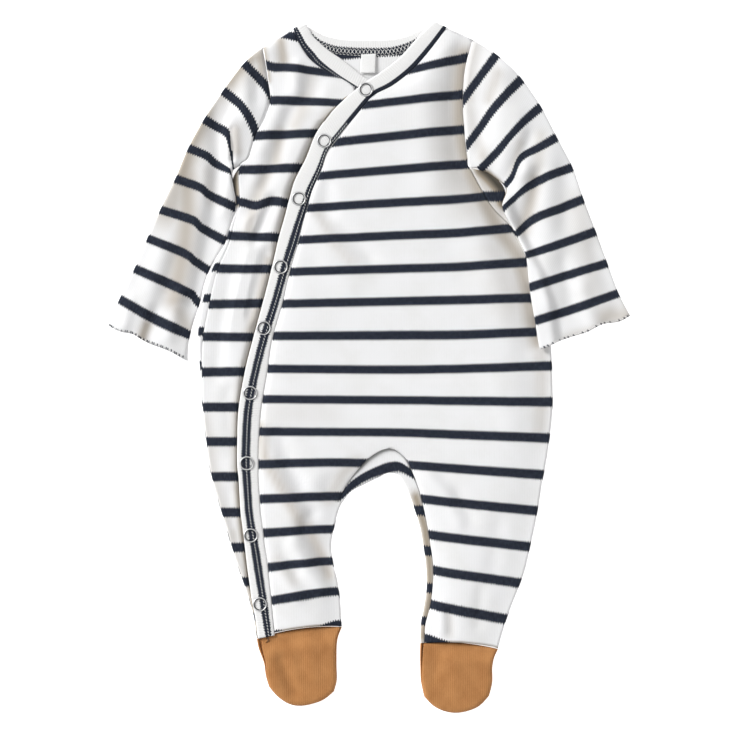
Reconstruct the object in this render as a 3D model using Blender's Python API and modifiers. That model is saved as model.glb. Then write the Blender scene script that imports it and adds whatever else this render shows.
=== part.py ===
"""A baby's footed romper with a crossed front, laid flat on its back.

Every piece that a maker cuts is one closed cloth wall.  The garment lies on
z = 0 with its neck towards +Y and its front up.  "Right" and "left" are the
wearer's, so the right side is at -X.  Tables are in millimetres.
"""

import math
from collections import namedtuple

import bmesh
import bpy
import numpy as np
from mathutils import Vector

MM = 0.001

# Driving sizes, in millimetres.
CLOTH = 1.0               # rib knit of the body and the sleeves
FOOT_CLOTH = 1.2          # heavier rib of the feet
BAND_CLOTH = 1.2          # folded neck bands and placket
BAND_CROWN = 0.3          # the lapped band is a little fuller in its middle
NECK_CROWN = 0.1
LAID_HEIGHT = 3.8         # top of the front where both layers lie together
FOOT_HEIGHT = 5.6         # a foot stands a little fuller
ROLL = 1.9                # how far an outer edge rounds over
SEAM_GAP = 0.15           # each piece stops this far short of a seam
EDGE_GAP = 0.65           # the same for a front whose seam lies on a rounded edge
NARROW_WRAP = 0.45        # side seam that lies on the outer edge itself
SLEEVE_STEP = 4.7         # the left sleeve lies this high over the body's edge
BAND_SLOPE = 10.0         # width over which the front rises to the lapped band
LAP_DIP = 0.6             # the under front dips this much into the lap
DIP_REACH = 5.0           # and over this width
BAND_SEAM_GAP = 0.5       # the main front stops this far short of the lapped band
SHOULDER_FALL = (0.74, 0.85, 0.96)     # the front's height share in the first sections
SHOULDER_CLIMB = (0.45, 0.20, 0.05)    # how far the back comes up to meet it there
EDGE_REACHES = (5.0, 2.5, 1.2, SEAM_GAP)    # columns beside an armhole, from inside
BEND_STEPS = 4            # flats round each outer edge

RING_RADIUS = 4.75        # snap ring, middle of its wire
RING_WIRE = 0.75
RING_SQUASH = 0.7
RING_SEAT = 0.3
STUD_RADIUS = 3.2
STUD_HEIGHT = 0.8
STUD_SEAT = 0.3
STUD_SIDES = 12

COTTON = (0.86, 0.85, 0.82, 1.0)
TAN = (0.50, 0.24, 0.08, 1.0)
STEEL = (0.72, 0.72, 0.72, 1.0)
LABEL_WHITE = (0.90, 0.90, 0.89, 1.0)

# Sections of the trunk, from the shoulders down to the crotch.  Down to the
# underarm, "right" and "left" are the armhole seams, and below it the outer
# edges.  "lap" is where the under front reaches the neck band or the lap, and
# a wrap is how far the back comes round onto the front.
Trunk = namedtuple("Trunk", "right_x right_y left_x left_y lap_x lap_y wrap_right wrap_left")
TRUNK = [
    Trunk(-81.5, 247.0, 80.0, 252.5, -58.5, 261.0, 0, 0),
    Trunk(-79.5, 235.0, 76.0, 238.5, -51.5, 245.5, 0, 0),
    Trunk(-77.5, 221.0, 73.5, 225.0, -39.5, 232.0, 0, 0),
    Trunk(-76.0, 205.5, 72.5, 211.0, -10.5, 214.0, 0, 0),
    Trunk(-80.5, 191.5, 72.5, 198.0, -28.5, 197.0, 0, 0),
    Trunk(-87.0, 179.5, 73.5, 185.0, -40.0, 181.5, 0, 0),
    Trunk(-90.5, 168.5, 74.5, 172.5, -47.0, 168.0, 0, 0),
    Trunk(-94.0, 159.0, 76.0, 161.5, -51.5, 158.0, 0, 0),
    Trunk(-99.5, 155.0, 78.0, 153.5, -54.5, 151.5, 0, 0),
    Trunk(-105.0, 145.5, 94.5, 148.6, -57.0, 145.0, 4.6, 14.0),
    Trunk(-104.0, 135.5, 104.8, 137.0, -61.0, 136.0, 4.2, 18.0),
    Trunk(-102.5, 124.0, 104.5, 122.5, -63.5, 124.0, 2.5, 9.0),
    Trunk(-106.5, 110.0, 110.5, 108.5, -67.0, 111.0, 2.5, 1.5),
    Trunk(-112.0, 93.0, 118.0, 93.0, -71.0, 94.0, 3.4, NARROW_WRAP),
    Trunk(-122.0, 73.0, 128.0, 73.0, -75.5, 73.5, 4.6, NARROW_WRAP),
    Trunk(-129.0, 47.5, 136.5, 47.5, -82.5, 47.5, 5.8, NARROW_WRAP),
    Trunk(-132.0, 21.0, 140.0, 21.0, -89.5, 21.0, 3.9, NARROW_WRAP),
    Trunk(-130.0, -5.5, 141.5, -7.0, -96.0, -5.5, 1.2, NARROW_WRAP),
    Trunk(-128.5, -33.0, 141.5, -34.5, -100.5, -33.0, NARROW_WRAP, NARROW_WRAP),
    Trunk(-125.5, -60.0, 138.5, -61.5, -101.5, -60.0, NARROW_WRAP, NARROW_WRAP),
    Trunk(-123.5, -75.5, 136.0, -77.0, -101.0, -75.5, NARROW_WRAP, NARROW_WRAP),
]
UNDERARM = 8              # row of the underarm
CROTCH = len(TRUNK) - 1   # row of the crotch
SHOULDER_ROWS = (0.0, 0.1, 0.35)

# The legs, from the crotch to the foot seam.  "seam" is where the front ends
# on the inner leg; the back wraps round to it.
RightLeg = namedtuple("RightLeg", "outer_x outer_y inner_x inner_y seam_x seam_y lap_x lap_y")
RIGHT_LEG = [
    RightLeg(-123.5, -75.5, 15.5, -81.5, 15.5, -62.5, -101.0, -75.5),
    RightLeg(-121.5, -85.5, 6.0, -86.0, 1.5, -69.0, -100.5, -85.5),
    RightLeg(-119.0, -94.5, -4.0, -91.0, -8.0, -78.5, -100.0, -94.5),
    RightLeg(-116.5, -103.0, -13.0, -95.5, -17.5, -91.0, -99.5, -102.5),
    RightLeg(-114.0, -112.5, -19.0, -102.5, -21.5, -101.0, -99.0, -111.5),
    RightLeg(-110.5, -123.0, -23.0, -109.5, -23.0, -109.5, -97.5, -123.0),
    RightLeg(-106.5, -138.0, -26.5, -123.0, -26.5, -123.0, -95.5, -139.5),
    RightLeg(-102.0, -151.5, -29.0, -137.0, -29.0, -137.0, -93.5, -153.0),
    RightLeg(-97.5, -165.5, -27.5, -151.0, -27.5, -151.0, -92.0, -166.5),
    RightLeg(-92.5, -179.5, -24.0, -166.5, -24.0, -166.5, -90.0, -180.0),
    RightLeg(-89.0, -193.5, -22.0, -181.5, -22.0, -181.5, -87.5, -193.0),
    RightLeg(-86.5, -209.0, -21.0, -200.0, -21.0, -200.0, -85.5, -208.5),
]
LeftLeg = namedtuple("LeftLeg", "inner_x inner_y seam_x seam_y outer_x outer_y")
LEFT_LEG = [
    LeftLeg(15.5, -81.5, 15.5, -62.5, 136.0, -77.0),
    LeftLeg(23.0, -84.0, 27.5, -69.5, 134.5, -84.5),
    LeftLeg(27.5, -91.0, 33.0, -80.0, 133.0, -92.5),
    LeftLeg(31.0, -98.5, 37.0, -90.0, 132.0, -100.0),
    LeftLeg(34.5, -108.0, 40.5, -101.5, 130.5, -108.5),
    LeftLeg(39.0, -122.5, 44.5, -120.0, 128.0, -122.5),
    LeftLeg(42.0, -138.5, 47.5, -138.0, 124.5, -138.0),
    LeftLeg(44.0, -154.0, 49.5, -154.0, 121.0, -154.0),
    LeftLeg(44.5, -169.5, 49.0, -170.0, 115.5, -170.0),
    LeftLeg(42.5, -184.0, 47.0, -185.0, 109.5, -185.0),
    LeftLeg(40.0, -198.0, 43.5, -198.5, 104.5, -199.5),
    LeftLeg(39.5, -212.5, 42.5, -213.0, 99.5, -217.0),
]

# The lapped band, one row for each section of the trunk and then of the right
# leg: its lap edge, its seam to the main front, and how high it lies.
Band = namedtuple("Band", "lap_x lap_y main_x main_y height")
OVER_BAND = [
    Band(50.0, 266.37, 60.0, 261.8, 1.6),
    Band(37.5, 254.0, 47.5, 245.0, 2.4),
    Band(24.0, 239.0, 34.0, 229.5, 3.2),
    Band(9.0, 227.0, 18.5, 217.0, 4.0),
    Band(-4.0, 218.5, 3.0, 208.5, 4.6),
    Band(-18.5, 206.5, -10.0, 193.5, 4.6),
    Band(-30.0, 195.0, -21.0, 179.5, 4.6),
    Band(-41.0, 179.5, -31.5, 165.5, 4.6),
    Band(-48.0, 162.0, -36.0, 153.0, 4.6),
    Band(-52.5, 153.0, -39.5, 145.5, 4.6),
    Band(-57.5, 143.0, -44.0, 135.0, 4.6),
    Band(-61.0, 131.0, -47.5, 123.0, 4.6),
    Band(-65.0, 115.5, -51.0, 110.0, 4.6),
    Band(-69.5, 99.5, -55.0, 94.0, 4.6),
    Band(-74.5, 78.0, -61.0, 73.0, 4.6),
    Band(-81.0, 52.5, -67.0, 47.5, 4.6),
    Band(-89.0, 23.0, -74.5, 21.0, 4.6),
    Band(-95.5, -3.0, -78.5, -5.5, 4.6),
    Band(-100.5, -33.0, -83.0, -33.0, 4.6),
    Band(-101.5, -61.0, -85.0, -61.0, 4.6),
    Band(-101.5, -76.0, -85.0, -76.0, 4.6),
    Band(-100.5, -84.5, -85.0, -84.5, 4.6),
    Band(-100.0, -93.0, -84.5, -93.0, 4.6),
    Band(-99.5, -101.5, -84.0, -101.5, 4.6),
    Band(-99.0, -110.5, -83.5, -110.0, 4.6),
    Band(-97.5, -122.5, -82.0, -121.5, 4.6),
    Band(-95.5, -139.0, -80.0, -138.0, 4.6),
    Band(-94.0, -152.0, -78.0, -151.0, 4.6),
    Band(-92.0, -166.5, -76.5, -165.5, 4.6),
    Band(-90.0, -181.0, -75.0, -180.0, 4.6),
    Band(-87.5, -193.5, -74.0, -192.5, 4.6),
    Band(-85.5, -209.0, -72.5, -206.5, 4.6),
]
FRONT_MIDDLE = 0.47       # column of the main front that ends at the top of the crotch arch
ARCH_ROWS = 4             # sections over which the arch forms
CURVED_ROWS = 4           # leg sections beside the arch, which get one more between each two
NO_WRAP = 1.5             # a seam nearer the edge than this lies on the edge itself
UNDER_LAP = 2.0           # the under front runs this far under the band
LAP_ROW = 4.5             # the facing strip starts just under the crossing
PLACKET_BOTTOM = 2.0
PLACKET_INSET = 1.6       # from the under front's end to the facing strip
PLACKET_MARGIN = 1.0      # from the facing strip to the band's sewn edge
PLACKET_END = 0.15        # the strip ends this part of a section above the foot seam

# Neck bands: the edge sewn to the panel and the free edge.
Neck = namedtuple("Neck", "sewn_x sewn_y free_x free_y height")
RIGHT_NECK = [
    Neck(-58.5, 261.0, -48.5, 265.0, 1.6),
    Neck(-55.5, 253.5, -46.0, 260.5, 2.0),
    Neck(-51.5, 245.5, -43.0, 255.0, 2.0),
    Neck(-45.5, 238.5, -37.5, 249.5, 2.0),
    Neck(-39.5, 232.0, -31.0, 244.0, 2.0),
    Neck(-25.0, 223.0, -18.5, 235.5, 2.0),
    Neck(-10.5, 214.0, -5.5, 225.0, 2.0),
    Neck(-5.5, 211.5, 1.0, 221.0, 2.0),
]
BACK_NECK = [
    Neck(-58.0, 259.5, -51.0, 264.5, 0.0),
    Neck(-51.0, 254.6, -44.0, 261.0, 0.0),
    Neck(-41.5, 247.0, -35.5, 256.0, 0.0),
    Neck(-29.5, 242.5, -24.5, 252.5, 0.0),
    Neck(-14.5, 240.5, -12.5, 250.5, 0.0),
    Neck(1.5, 240.0, 1.5, 250.0, 0.0),
    Neck(17.5, 240.5, 15.5, 250.5, 0.0),
    Neck(31.5, 244.0, 27.0, 253.0, 0.0),
    Neck(43.0, 249.5, 37.0, 257.0, 0.0),
    Neck(52.5, 255.5, 45.5, 262.0, 0.0),
    Neck(59.5, 260.5, 52.5, 266.0, 0.0),
]
BACK_NECK_STEPS = (0, 2, 3, 4, 5, 6, 7, 8, 10)      # rows that the back panel meets
BACK_SHARES = (0.0, 0.13, 0.24, 0.34, 0.44, 0.536, 0.63, 0.72, 0.81, 0.91, 1.0)
BACK_MIDDLE = 5           # column of the back panel that ends at the crotch

# Sleeves, from the armhole to the cuff: the outer fold, the inner fold, and
# how far the lower layer reaches past the inner fold.
Sleeve = namedtuple("Sleeve", "outer_x outer_y inner_x inner_y under_x under_y")
RIGHT_SLEEVE = [
    Sleeve(-81.5, 247.0, -99.5, 155.0, 0, 0),
    Sleeve(-90.0, 240.5, -101.5, 154.5, 0, 0),
    Sleeve(-98.5, 232.0, -103.0, 154.0, 0, 0),
    Sleeve(-107.0, 221.0, -104.5, 153.5, 0, 0),
    Sleeve(-117.0, 207.0, -105.8, 152.5, 0, 0),
    Sleeve(-127.0, 191.5, -106.8, 150.5, 0, 0),
    Sleeve(-139.5, 168.5, -107.2, 145.0, 0, 0),
    Sleeve(-149.5, 145.0, -104.5, 124.5, 0, 0),
    Sleeve(-161.0, 121.5, -111.5, 97.0, 0, 0),
    Sleeve(-171.0, 99.5, -123.8, 73.0, 0, 0),
    Sleeve(-181.0, 76.0, -130.8, 48.0, 0, 0),
    Sleeve(-192.5, 52.5, -138.0, 24.0, 0, 0),
    Sleeve(-201.5, 32.5, -142.0, 7.5, 4.0, -3.0),
]
LEFT_SLEEVE = [
    Sleeve(80.0, 252.5, 78.0, 153.5, 0, 0),
    Sleeve(85.5, 249.5, 79.8, 153.2, 0, 0),
    Sleeve(91.5, 245.5, 81.5, 153.2, 0, 0),
    Sleeve(98.5, 241.0, 83.4, 153.3, 0, 0),
    Sleeve(108.5, 232.0, 85.6, 153.3, 0, 0),
    Sleeve(118.0, 222.0, 88.5, 153.3, 0, 0),
    Sleeve(132.5, 201.0, 96.0, 150.0, 0, 0),
    Sleeve(145.0, 177.0, 107.0, 138.0, 0, 0),
    Sleeve(157.0, 154.0, 102.5, 122.5, 0, 0),
    Sleeve(165.5, 129.5, 112.5, 103.0, 0, 0),
    Sleeve(175.0, 104.5, 120.5, 85.5, 0, 0),
    Sleeve(184.0, 80.0, 123.5, 60.0, 0, 0),
    Sleeve(192.5, 57.0, 127.5, 35.5, 0, 0),
    Sleeve(201.5, 39.5, 131.0, 14.0, 0, 0),
]
SEAM_FADE = 5.0           # sections over which the armhole's curve dies out

# Feet: seen from the front, the two sides down to the toe corners, then the toe.
RIGHT_FOOT_OUTER = [(-86.5, -209.5), (-85.0, -217.0), (-81.0, -228.0), (-79.5, -238.0), (-77.0, -246.5)]
RIGHT_FOOT_INNER = [(-21.0, -200.5), (-24.5, -211.0), (-25.0, -228.0), (-24.8, -241.0), (-27.0, -250.0)]
RIGHT_FOOT_TOE = [(-77.0, -246.5), (-70.5, -254.0), (-61.0, -260.0), (-50.0, -261.0), (-36.0, -257.0), (-27.0, -250.0)]
LEFT_FOOT_INNER = [(39.5, -213.0), (39.3, -222.0), (39.5, -232.0), (40.0, -242.0), (42.5, -254.0)]
LEFT_FOOT_OUTER = [(99.5, -217.5), (96.5, -224.0), (95.0, -232.0), (95.0, -243.0), (92.5, -253.5)]
LEFT_FOOT_TOE = [(42.5, -254.0), (50.0, -261.5), (60.0, -265.8), (71.0, -266.3), (84.0, -262.0), (92.5, -253.5)]
SEAM_RISE_RIGHT = 3.2     # the foot seam bows up in its middle
SEAM_RISE_LEFT = 2.5
SOLE_WRAP_RIGHT = 0.05    # share of the foot's width where the sole shows beside the upper
SOLE_WRAP_LEFT = 0.03
FOOT_SWELL = 0.35         # share of its length over which a foot grows to its full height
FOOT_ROLL = 1.6           # a foot's edge rounds this many times more widely than the body's
FOOT_GAP = 0.3            # a foot starts this far below the leg
FOOT_ACROSS = (0.0, 0.03, 0.08, 0.2, 0.4, 0.6, 0.8, 0.92, 0.97, 1.0)
FOOT_DOWN = (0.0, 0.2, 0.4, 0.6, 0.78, 0.9, 0.96, 1.0)
UPPER_INSET = 0.02        # share by which the upper stops short of the outline

# Largest folds: a straight ridge (or trough, when the height is negative).
Fold = namedtuple("Fold", "from_x from_y to_x to_y height width")
FOLDS = [
    Fold(-123.0, 160.0, -134.0, 62.0, 2.0, 11.0),      # long fold of the right sleeve
    Fold(-112.0, 176.0, -104.0, 150.0, 1.6, 7.0),      # right underarm
    Fold(-86.0, 152.0, -92.0, 108.0, 1.2, 8.0),        # right side, ripples down
    Fold(-36.0, 140.0, -44.0, 80.0, -1.0, 9.0),        # trough beside the lap
    Fold(114.0, 195.0, 118.0, 150.0, 1.8, 8.0),        # left sleeve, inner fold
    Fold(128.0, 120.0, 144.0, 92.0, 1.5, 10.0),        # left sleeve, elbow
    Fold(92.0, 214.0, 84.0, 178.0, -1.2, 8.0),         # behind the left armhole
    Fold(90.0, 148.0, 99.0, 134.0, -1.2, 5.0),         # hollow under the left arm
    Fold(-44.0, -104.0, -34.0, -150.0, -1.0, 8.0),     # right inner leg
    Fold(60.0, -92.0, 40.0, -82.0, 1.0, 7.0),          # above the left inner leg
]

# Snaps, down the middle of the band.
SNAPS = [(-2.5, 213.5), (-34.5, 174.0), (-54.0, 129.5), (-68.0, 77.0), (-81.0, 30.0),
         (-91.5, -20.0), (-94.0, -74.0), (-91.0, -129.5), (-84.0, -182.5)]

LABEL_CORNERS = ((-6.0, 239.0), (5.5, 239.5), (5.0, 226.5), (-7.0, 226.5))
LABEL_CLOTH = 1.0
LABEL_BOTTOM = 1.3


def through(table, place):
    """Read a table at a fractional row, on a smooth curve through its rows."""
    last = len(table) - 1
    row = min(int(place), last - 1)
    part = place - row
    a, b, c, d = (np.array(table[min(max(k, 0), last)], float) for k in (row - 1, row, row + 1, row + 2))
    return b + 0.5 * part * (c - a + part * (2 * a - 5 * b + 4 * c - d + part * (3 * (b - c) + d - a)))


def columns(table, first):
    """Two neighbouring columns of a table, as a line of points."""
    return [np.array(row[first:first + 2], float) for row in table]


def inward(line, place, side):
    """Unit vector that points into the cloth from its edge; side is +1 where that is to +X."""
    ahead = through(line, min(place + 0.2, len(line) - 1.0))
    behind = through(line, max(place - 0.2, 0.0))
    along = (ahead - behind) / np.linalg.norm(ahead - behind)
    return side * np.array((-along[1], along[0]))


def swell(x, y):
    """Height that the main folds add at a place."""
    total = 0.0
    for fold in FOLDS:
        start = np.array((fold.from_x, fold.from_y))
        run = np.array((fold.to_x, fold.to_y)) - start
        offset = np.array((x, y)) - start
        share = min(max(offset.dot(run) / run.dot(run), 0.0), 1.0)
        away = np.linalg.norm(offset - share * run)
        total += fold.height * math.exp(-(away / fold.width) ** 2)
    return total


def laid_top(x, y):
    return LAID_HEIGHT + swell(x, y)


def round_edge(edge, into, travel, top=laid_top, floor=0.0):
    """A place on an outer edge: travel runs from its middle, up (+) or down (-)."""
    angle = min(abs(travel) / ROLL, math.pi / 2)
    reach = ROLL * (1 - math.cos(angle)) + max(abs(travel) - ROLL * math.pi / 2, 0.0)
    x, y = edge + into * reach
    ceiling = top(x, y)
    middle = (ceiling + floor) / 2
    height = middle + math.copysign((ceiling - floor) / 2 * math.sin(angle), travel)
    return np.array((x, y, height))


def travel_of(wrap):
    """Travel up the edge at which a seam lies that far in from the edge."""
    if wrap >= ROLL:
        return ROLL * math.pi / 2 + wrap - ROLL
    return ROLL * math.acos(1 - wrap / ROLL)


def spread(start, end, count):
    return [start + (end - start) * step / count for step in range(count + 1)]


def lay(mesh, points, under=False):
    """Add one patch of cloth, rows down the garment and columns across it."""
    down, across = len(points) - 1, len(points[0]) - 1
    grid = bmesh.ops.create_grid(mesh, x_segments=across, y_segments=down, size=1.0)["verts"]
    for vert in grid:
        column = round((vert.co.x + 1) / 2 * across)
        row = round((1 - vert.co.y) / 2 * down)
        vert.co = Vector(points[row][column]) * MM
    if under:
        faces = {face for vert in grid for face in vert.link_faces}
        bmesh.ops.reverse_faces(mesh, faces=list(faces))


def sew(name, mesh, wall, material):
    """Make an object of the patches; Solidify gives the cloth its thickness, inwards."""
    bmesh.ops.remove_doubles(mesh, verts=mesh.verts, dist=1e-6)
    data = bpy.data.meshes.new(name)
    mesh.to_mesh(data)
    mesh.free()
    data.shade_smooth()
    data.materials.append(material)
    piece = bpy.data.objects.new(name, data)
    GARMENT.objects.link(piece)
    thickness = piece.modifiers.new("cloth", "SOLIDIFY")
    thickness.thickness = wall * MM
    thickness.offset = -1.0
    return piece


def plain_material(name, colour, roughness, metallic=0.0):
    material = bpy.data.materials.new(name)
    material.use_nodes = True
    shader = material.node_tree.nodes["Principled BSDF"]
    shader.inputs["Base Color"].default_value = colour
    shader.inputs["Roughness"].default_value = roughness
    shader.inputs["Metallic"].default_value = metallic
    return material


RIGHT_EDGE = columns(TRUNK, 0)
LEFT_EDGE = columns(TRUNK, 2)
LAP_EDGE = columns(TRUNK, 4)
BAND_LAP = columns(OVER_BAND, 0)
BAND_MAIN = columns(OVER_BAND, 2)
RIGHT_ANKLE = (RIGHT_LEG[-1].outer_x, RIGHT_LEG[-1].inner_x)
LEFT_ANKLE = (LEFT_LEG[-1].inner_x, LEFT_LEG[-1].outer_x)
RIGHT_OUTLINE = RIGHT_EDGE[UNDERARM:] + columns(RIGHT_LEG, 0)[1:]
LEFT_OUTLINE = LEFT_EDGE[UNDERARM:] + columns(LEFT_LEG, 4)[1:]
ARCH_INNER = columns(RIGHT_LEG, 2)[::-1] + columns(LEFT_LEG, 0)[1:]
ARCH_SEAM = columns(RIGHT_LEG, 4)[::-1] + columns(LEFT_LEG, 2)[1:]
LEG_ROWS = spread(0, CURVED_ROWS, 2 * CURVED_ROWS) \
    + spread(CURVED_ROWS + 1, len(RIGHT_LEG) - 1, len(RIGHT_LEG) - CURVED_ROWS - 2)
TRUNK_ROWS = list(SHOULDER_ROWS) + [float(row) for row in range(1, UNDERARM)] \
    + spread(UNDERARM, CROTCH, 2 * (CROTCH - UNDERARM))


def side_at(edge, outline, place):
    """The armhole seam above the underarm, and the outer edge below it."""
    if place < UNDERARM:
        return through(edge, place)
    return through(outline, place - UNDERARM)


def side_into(side, place):
    """Into the cloth from an outer edge: along the section on the trunk, square to the edge on a leg."""
    outline, far_line = (RIGHT_OUTLINE, LAP_EDGE) if side == "right" else (LEFT_OUTLINE, BAND_MAIN)
    if place > CROTCH:
        return inward(outline, place - UNDERARM, 1 if side == "right" else -1)
    run = through(far_line, place) - through(outline, place - UNDERARM)
    return run / np.linalg.norm(run)


def side_wrap(side, place):
    """How far the back comes round at an outer edge."""
    if place > CROTCH:
        return NARROW_WRAP
    return through(TRUNK, place)[6 if side == "right" else 7]


def sloping(row, index):
    """Height beside the shoulder, where both layers come down to their seam."""
    fall = SHOULDER_FALL[index] if index < len(SHOULDER_FALL) else 1.0
    return [np.array((x, y, z * fall)) for x, y, z in row]


def raised_by_band(place, distance):
    """Extra height of the main front beside the lapped band."""
    edge = through(OVER_BAND, place)[4] + BAND_CLOTH - LAID_HEIGHT
    return edge * math.exp(-(distance / BAND_SLOPE) ** 2)


def straight_row(start, end, count, lift=lambda share, length: 0.0):
    """Places on a straight line across the cloth, from start to end."""
    length = np.linalg.norm(end - start)
    row = []
    for step in range(count + 1):
        x, y = start + (end - start) * step / count
        row.append(np.array((x, y, laid_top(x, y) + lift(step / count, length))))
    return row


def outer_columns(edge, into, wrap, rolled):
    """The last columns of a front panel, from inside the cloth to its outer edge."""
    if not rolled:
        flat = [edge + into * reach for reach in EDGE_REACHES]
        return [np.array((x, y, laid_top(x, y))) for x, y in flat]
    start = travel_of(wrap) + EDGE_GAP
    inside = max(ROLL * math.pi / 2 + 0.4, start + 3.0)
    return [round_edge(edge, into, travel) for travel in spread(inside, start, 3)]


def leg_seam(side, place):
    """Inner edge, its inward direction and the seam's distance, for a leg section."""
    where = len(RIGHT_LEG) - 1 + (place if side == "left" else -place)
    inner, seam = through(ARCH_INNER, where), through(ARCH_SEAM, where)
    gap = np.linalg.norm(seam - inner)
    if gap > NO_WRAP:
        return inner, (seam - inner) / gap, gap
    return inner, inward(ARCH_INNER, where, 1), NARROW_WRAP


def make_front_left():
    """Main front: chest and belly, the left leg and the inner part of the right leg."""
    mesh = bmesh.new()
    peak = np.array((RIGHT_LEG[0].seam_x, RIGHT_LEG[0].seam_y + SEAM_GAP))
    lowest = through(BAND_MAIN, CROTCH)
    arch = peak - (lowest + (LEFT_EDGE[CROTCH] - lowest) * FRONT_MIDDLE)
    near, far = 4, 4
    trunk = []
    for index, place in enumerate(TRUNK_ROWS):
        start = through(BAND_MAIN, place)
        edge = side_at(LEFT_EDGE, LEFT_OUTLINE, place)
        across = (edge - start) / np.linalg.norm(edge - start)
        start = start + across * BAND_SEAM_GAP
        rolled = place > UNDERARM
        into = side_into("left", place) if rolled else -across
        side = outer_columns(edge, into, side_wrap("left", place), rolled)
        end = side[0][:2]
        ripe = max(0.0, (place - (CROTCH - ARCH_ROWS)) / ARCH_ROWS)
        middle = start + (end - start) * FRONT_MIDDLE + arch * ripe ** 1.5
        if place == CROTCH:
            middle = peak
        lift = lambda share, length: raised_by_band(place, share * length)
        row = straight_row(start, middle, near, lift) + straight_row(middle, end, far)[1:] + side[1:]
        trunk.append(sloping(row, index))
    lay(mesh, trunk)
    split = near
    right_leg, left_leg = [], []
    for place in LEG_ROWS:
        start = through(BAND_MAIN, CROTCH + place)
        inner, into, gap = leg_seam("right", place)
        lift = lambda share, length: raised_by_band(CROTCH + place, share * length)
        if place == 0:
            right_leg.append(trunk[-1][:split + 1])
            left_leg.append(trunk[-1][split:])
            continue
        if gap > ROLL:
            end = inner + into * (gap + SEAM_GAP)
            across = (end - start) / np.linalg.norm(end - start)
            row = straight_row(start + across * BAND_SEAM_GAP, end, near, lift)
        else:
            side = outer_columns(inner, into, gap, True)
            end = side[0][:2]
            across = (end - start) / np.linalg.norm(end - start)
            row = straight_row(start + across * BAND_SEAM_GAP, end, near - 2, lift) + [side[2], side[3]]
        right_leg.append(bow(row, place, "right"))
        inner, into, gap = leg_seam("left", place)
        start = inner + into * (gap + SEAM_GAP)
        edge = through(LEFT_LEG, place)[4:6]
        into = side_into("left", CROTCH + place)
        side = outer_columns(edge, into, NARROW_WRAP, True)
        row = straight_row(start, side[0][:2], far) + side[1:]
        left_leg.append(bow(row, place, "left"))
    lay(mesh, right_leg)
    lay(mesh, left_leg)
    return sew("front_left", mesh, CLOTH, STRIPED)


def seam_lift(x, side):
    """How far the foot seam bows up, at a place across the ankle."""
    ends, rise = ((RIGHT_ANKLE, SEAM_RISE_RIGHT) if side == "right" else (LEFT_ANKLE, SEAM_RISE_LEFT))
    share = min(max((x - ends[0]) / (ends[1] - ends[0]), 0.0), 1.0)
    return rise * 4 * share * (1 - share)


def bow(row, place, side):
    """Lift the lowest leg sections to follow the foot seam."""
    ripe = max(0.0, (place - (len(RIGHT_LEG) - 4)) / 3.0)
    return [point + np.array((0.0, ripe * seam_lift(point[0], side), 0.0)) for point in row]


def make_front_right():
    """Under front: from the right shoulder and side to the lap, down to the foot."""
    mesh = bmesh.new()
    rows = []
    for index, place in enumerate(TRUNK_ROWS):
        edge = side_at(RIGHT_EDGE, RIGHT_OUTLINE, place)
        end = through(LAP_EDGE, place)
        rows.append(sloping(under_front_row(edge, end, place, place <= UNDERARM), index))
    for place in LEG_ROWS[1:]:
        row = through(RIGHT_LEG, place)
        row = under_front_row(row[0:2], row[6:8], CROTCH + place, False)
        rows.append(bow(row, place, "right"))
    lay(mesh, rows)
    return sew("front_right", mesh, CLOTH, STRIPED)


def under_front_row(edge, end, place, armhole):
    across = (end - edge) / np.linalg.norm(end - edge)
    tucked = place >= LAP_ROW
    end = end + across * (UNDER_LAP if tucked else -SEAM_GAP * 2)
    if armhole:
        into = across
        wrap = 0.0
    else:
        into = side_into("right", place)
        wrap = side_wrap("right", place)
    side = outer_columns(edge, into, wrap, not armhole)[::-1]
    lift = lambda share, length: -LAP_DIP * math.exp(-((1 - share) * length / DIP_REACH) ** 2)
    return side[:-1] + straight_row(side[-1][:2], end, 3, lift)


def floor_row(start, end, shares):
    return [np.array((*(start + (end - start) * share), 0.0)) for share in shares]


def back_strip(stations):
    """The back's outer edge, from flat on the ground round to its seam on the front.

    Each station is an edge point, its inward direction, its wrap, and the leg
    section and side that it lies on, if any.
    """
    rows = []
    turn = ROLL * math.pi / 2
    for edge, into, wrap, place, side in stations:
        end = travel_of(wrap) - SEAM_GAP
        bend = spread(-turn, min(turn, 0.8 * end), BEND_STEPS)
        travels = bend + spread(bend[-1], end, 2)[1:]
        row = [round_edge(edge, into, travel) for travel in travels]
        rows.append(bow(row, place, side))
    return rows


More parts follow.
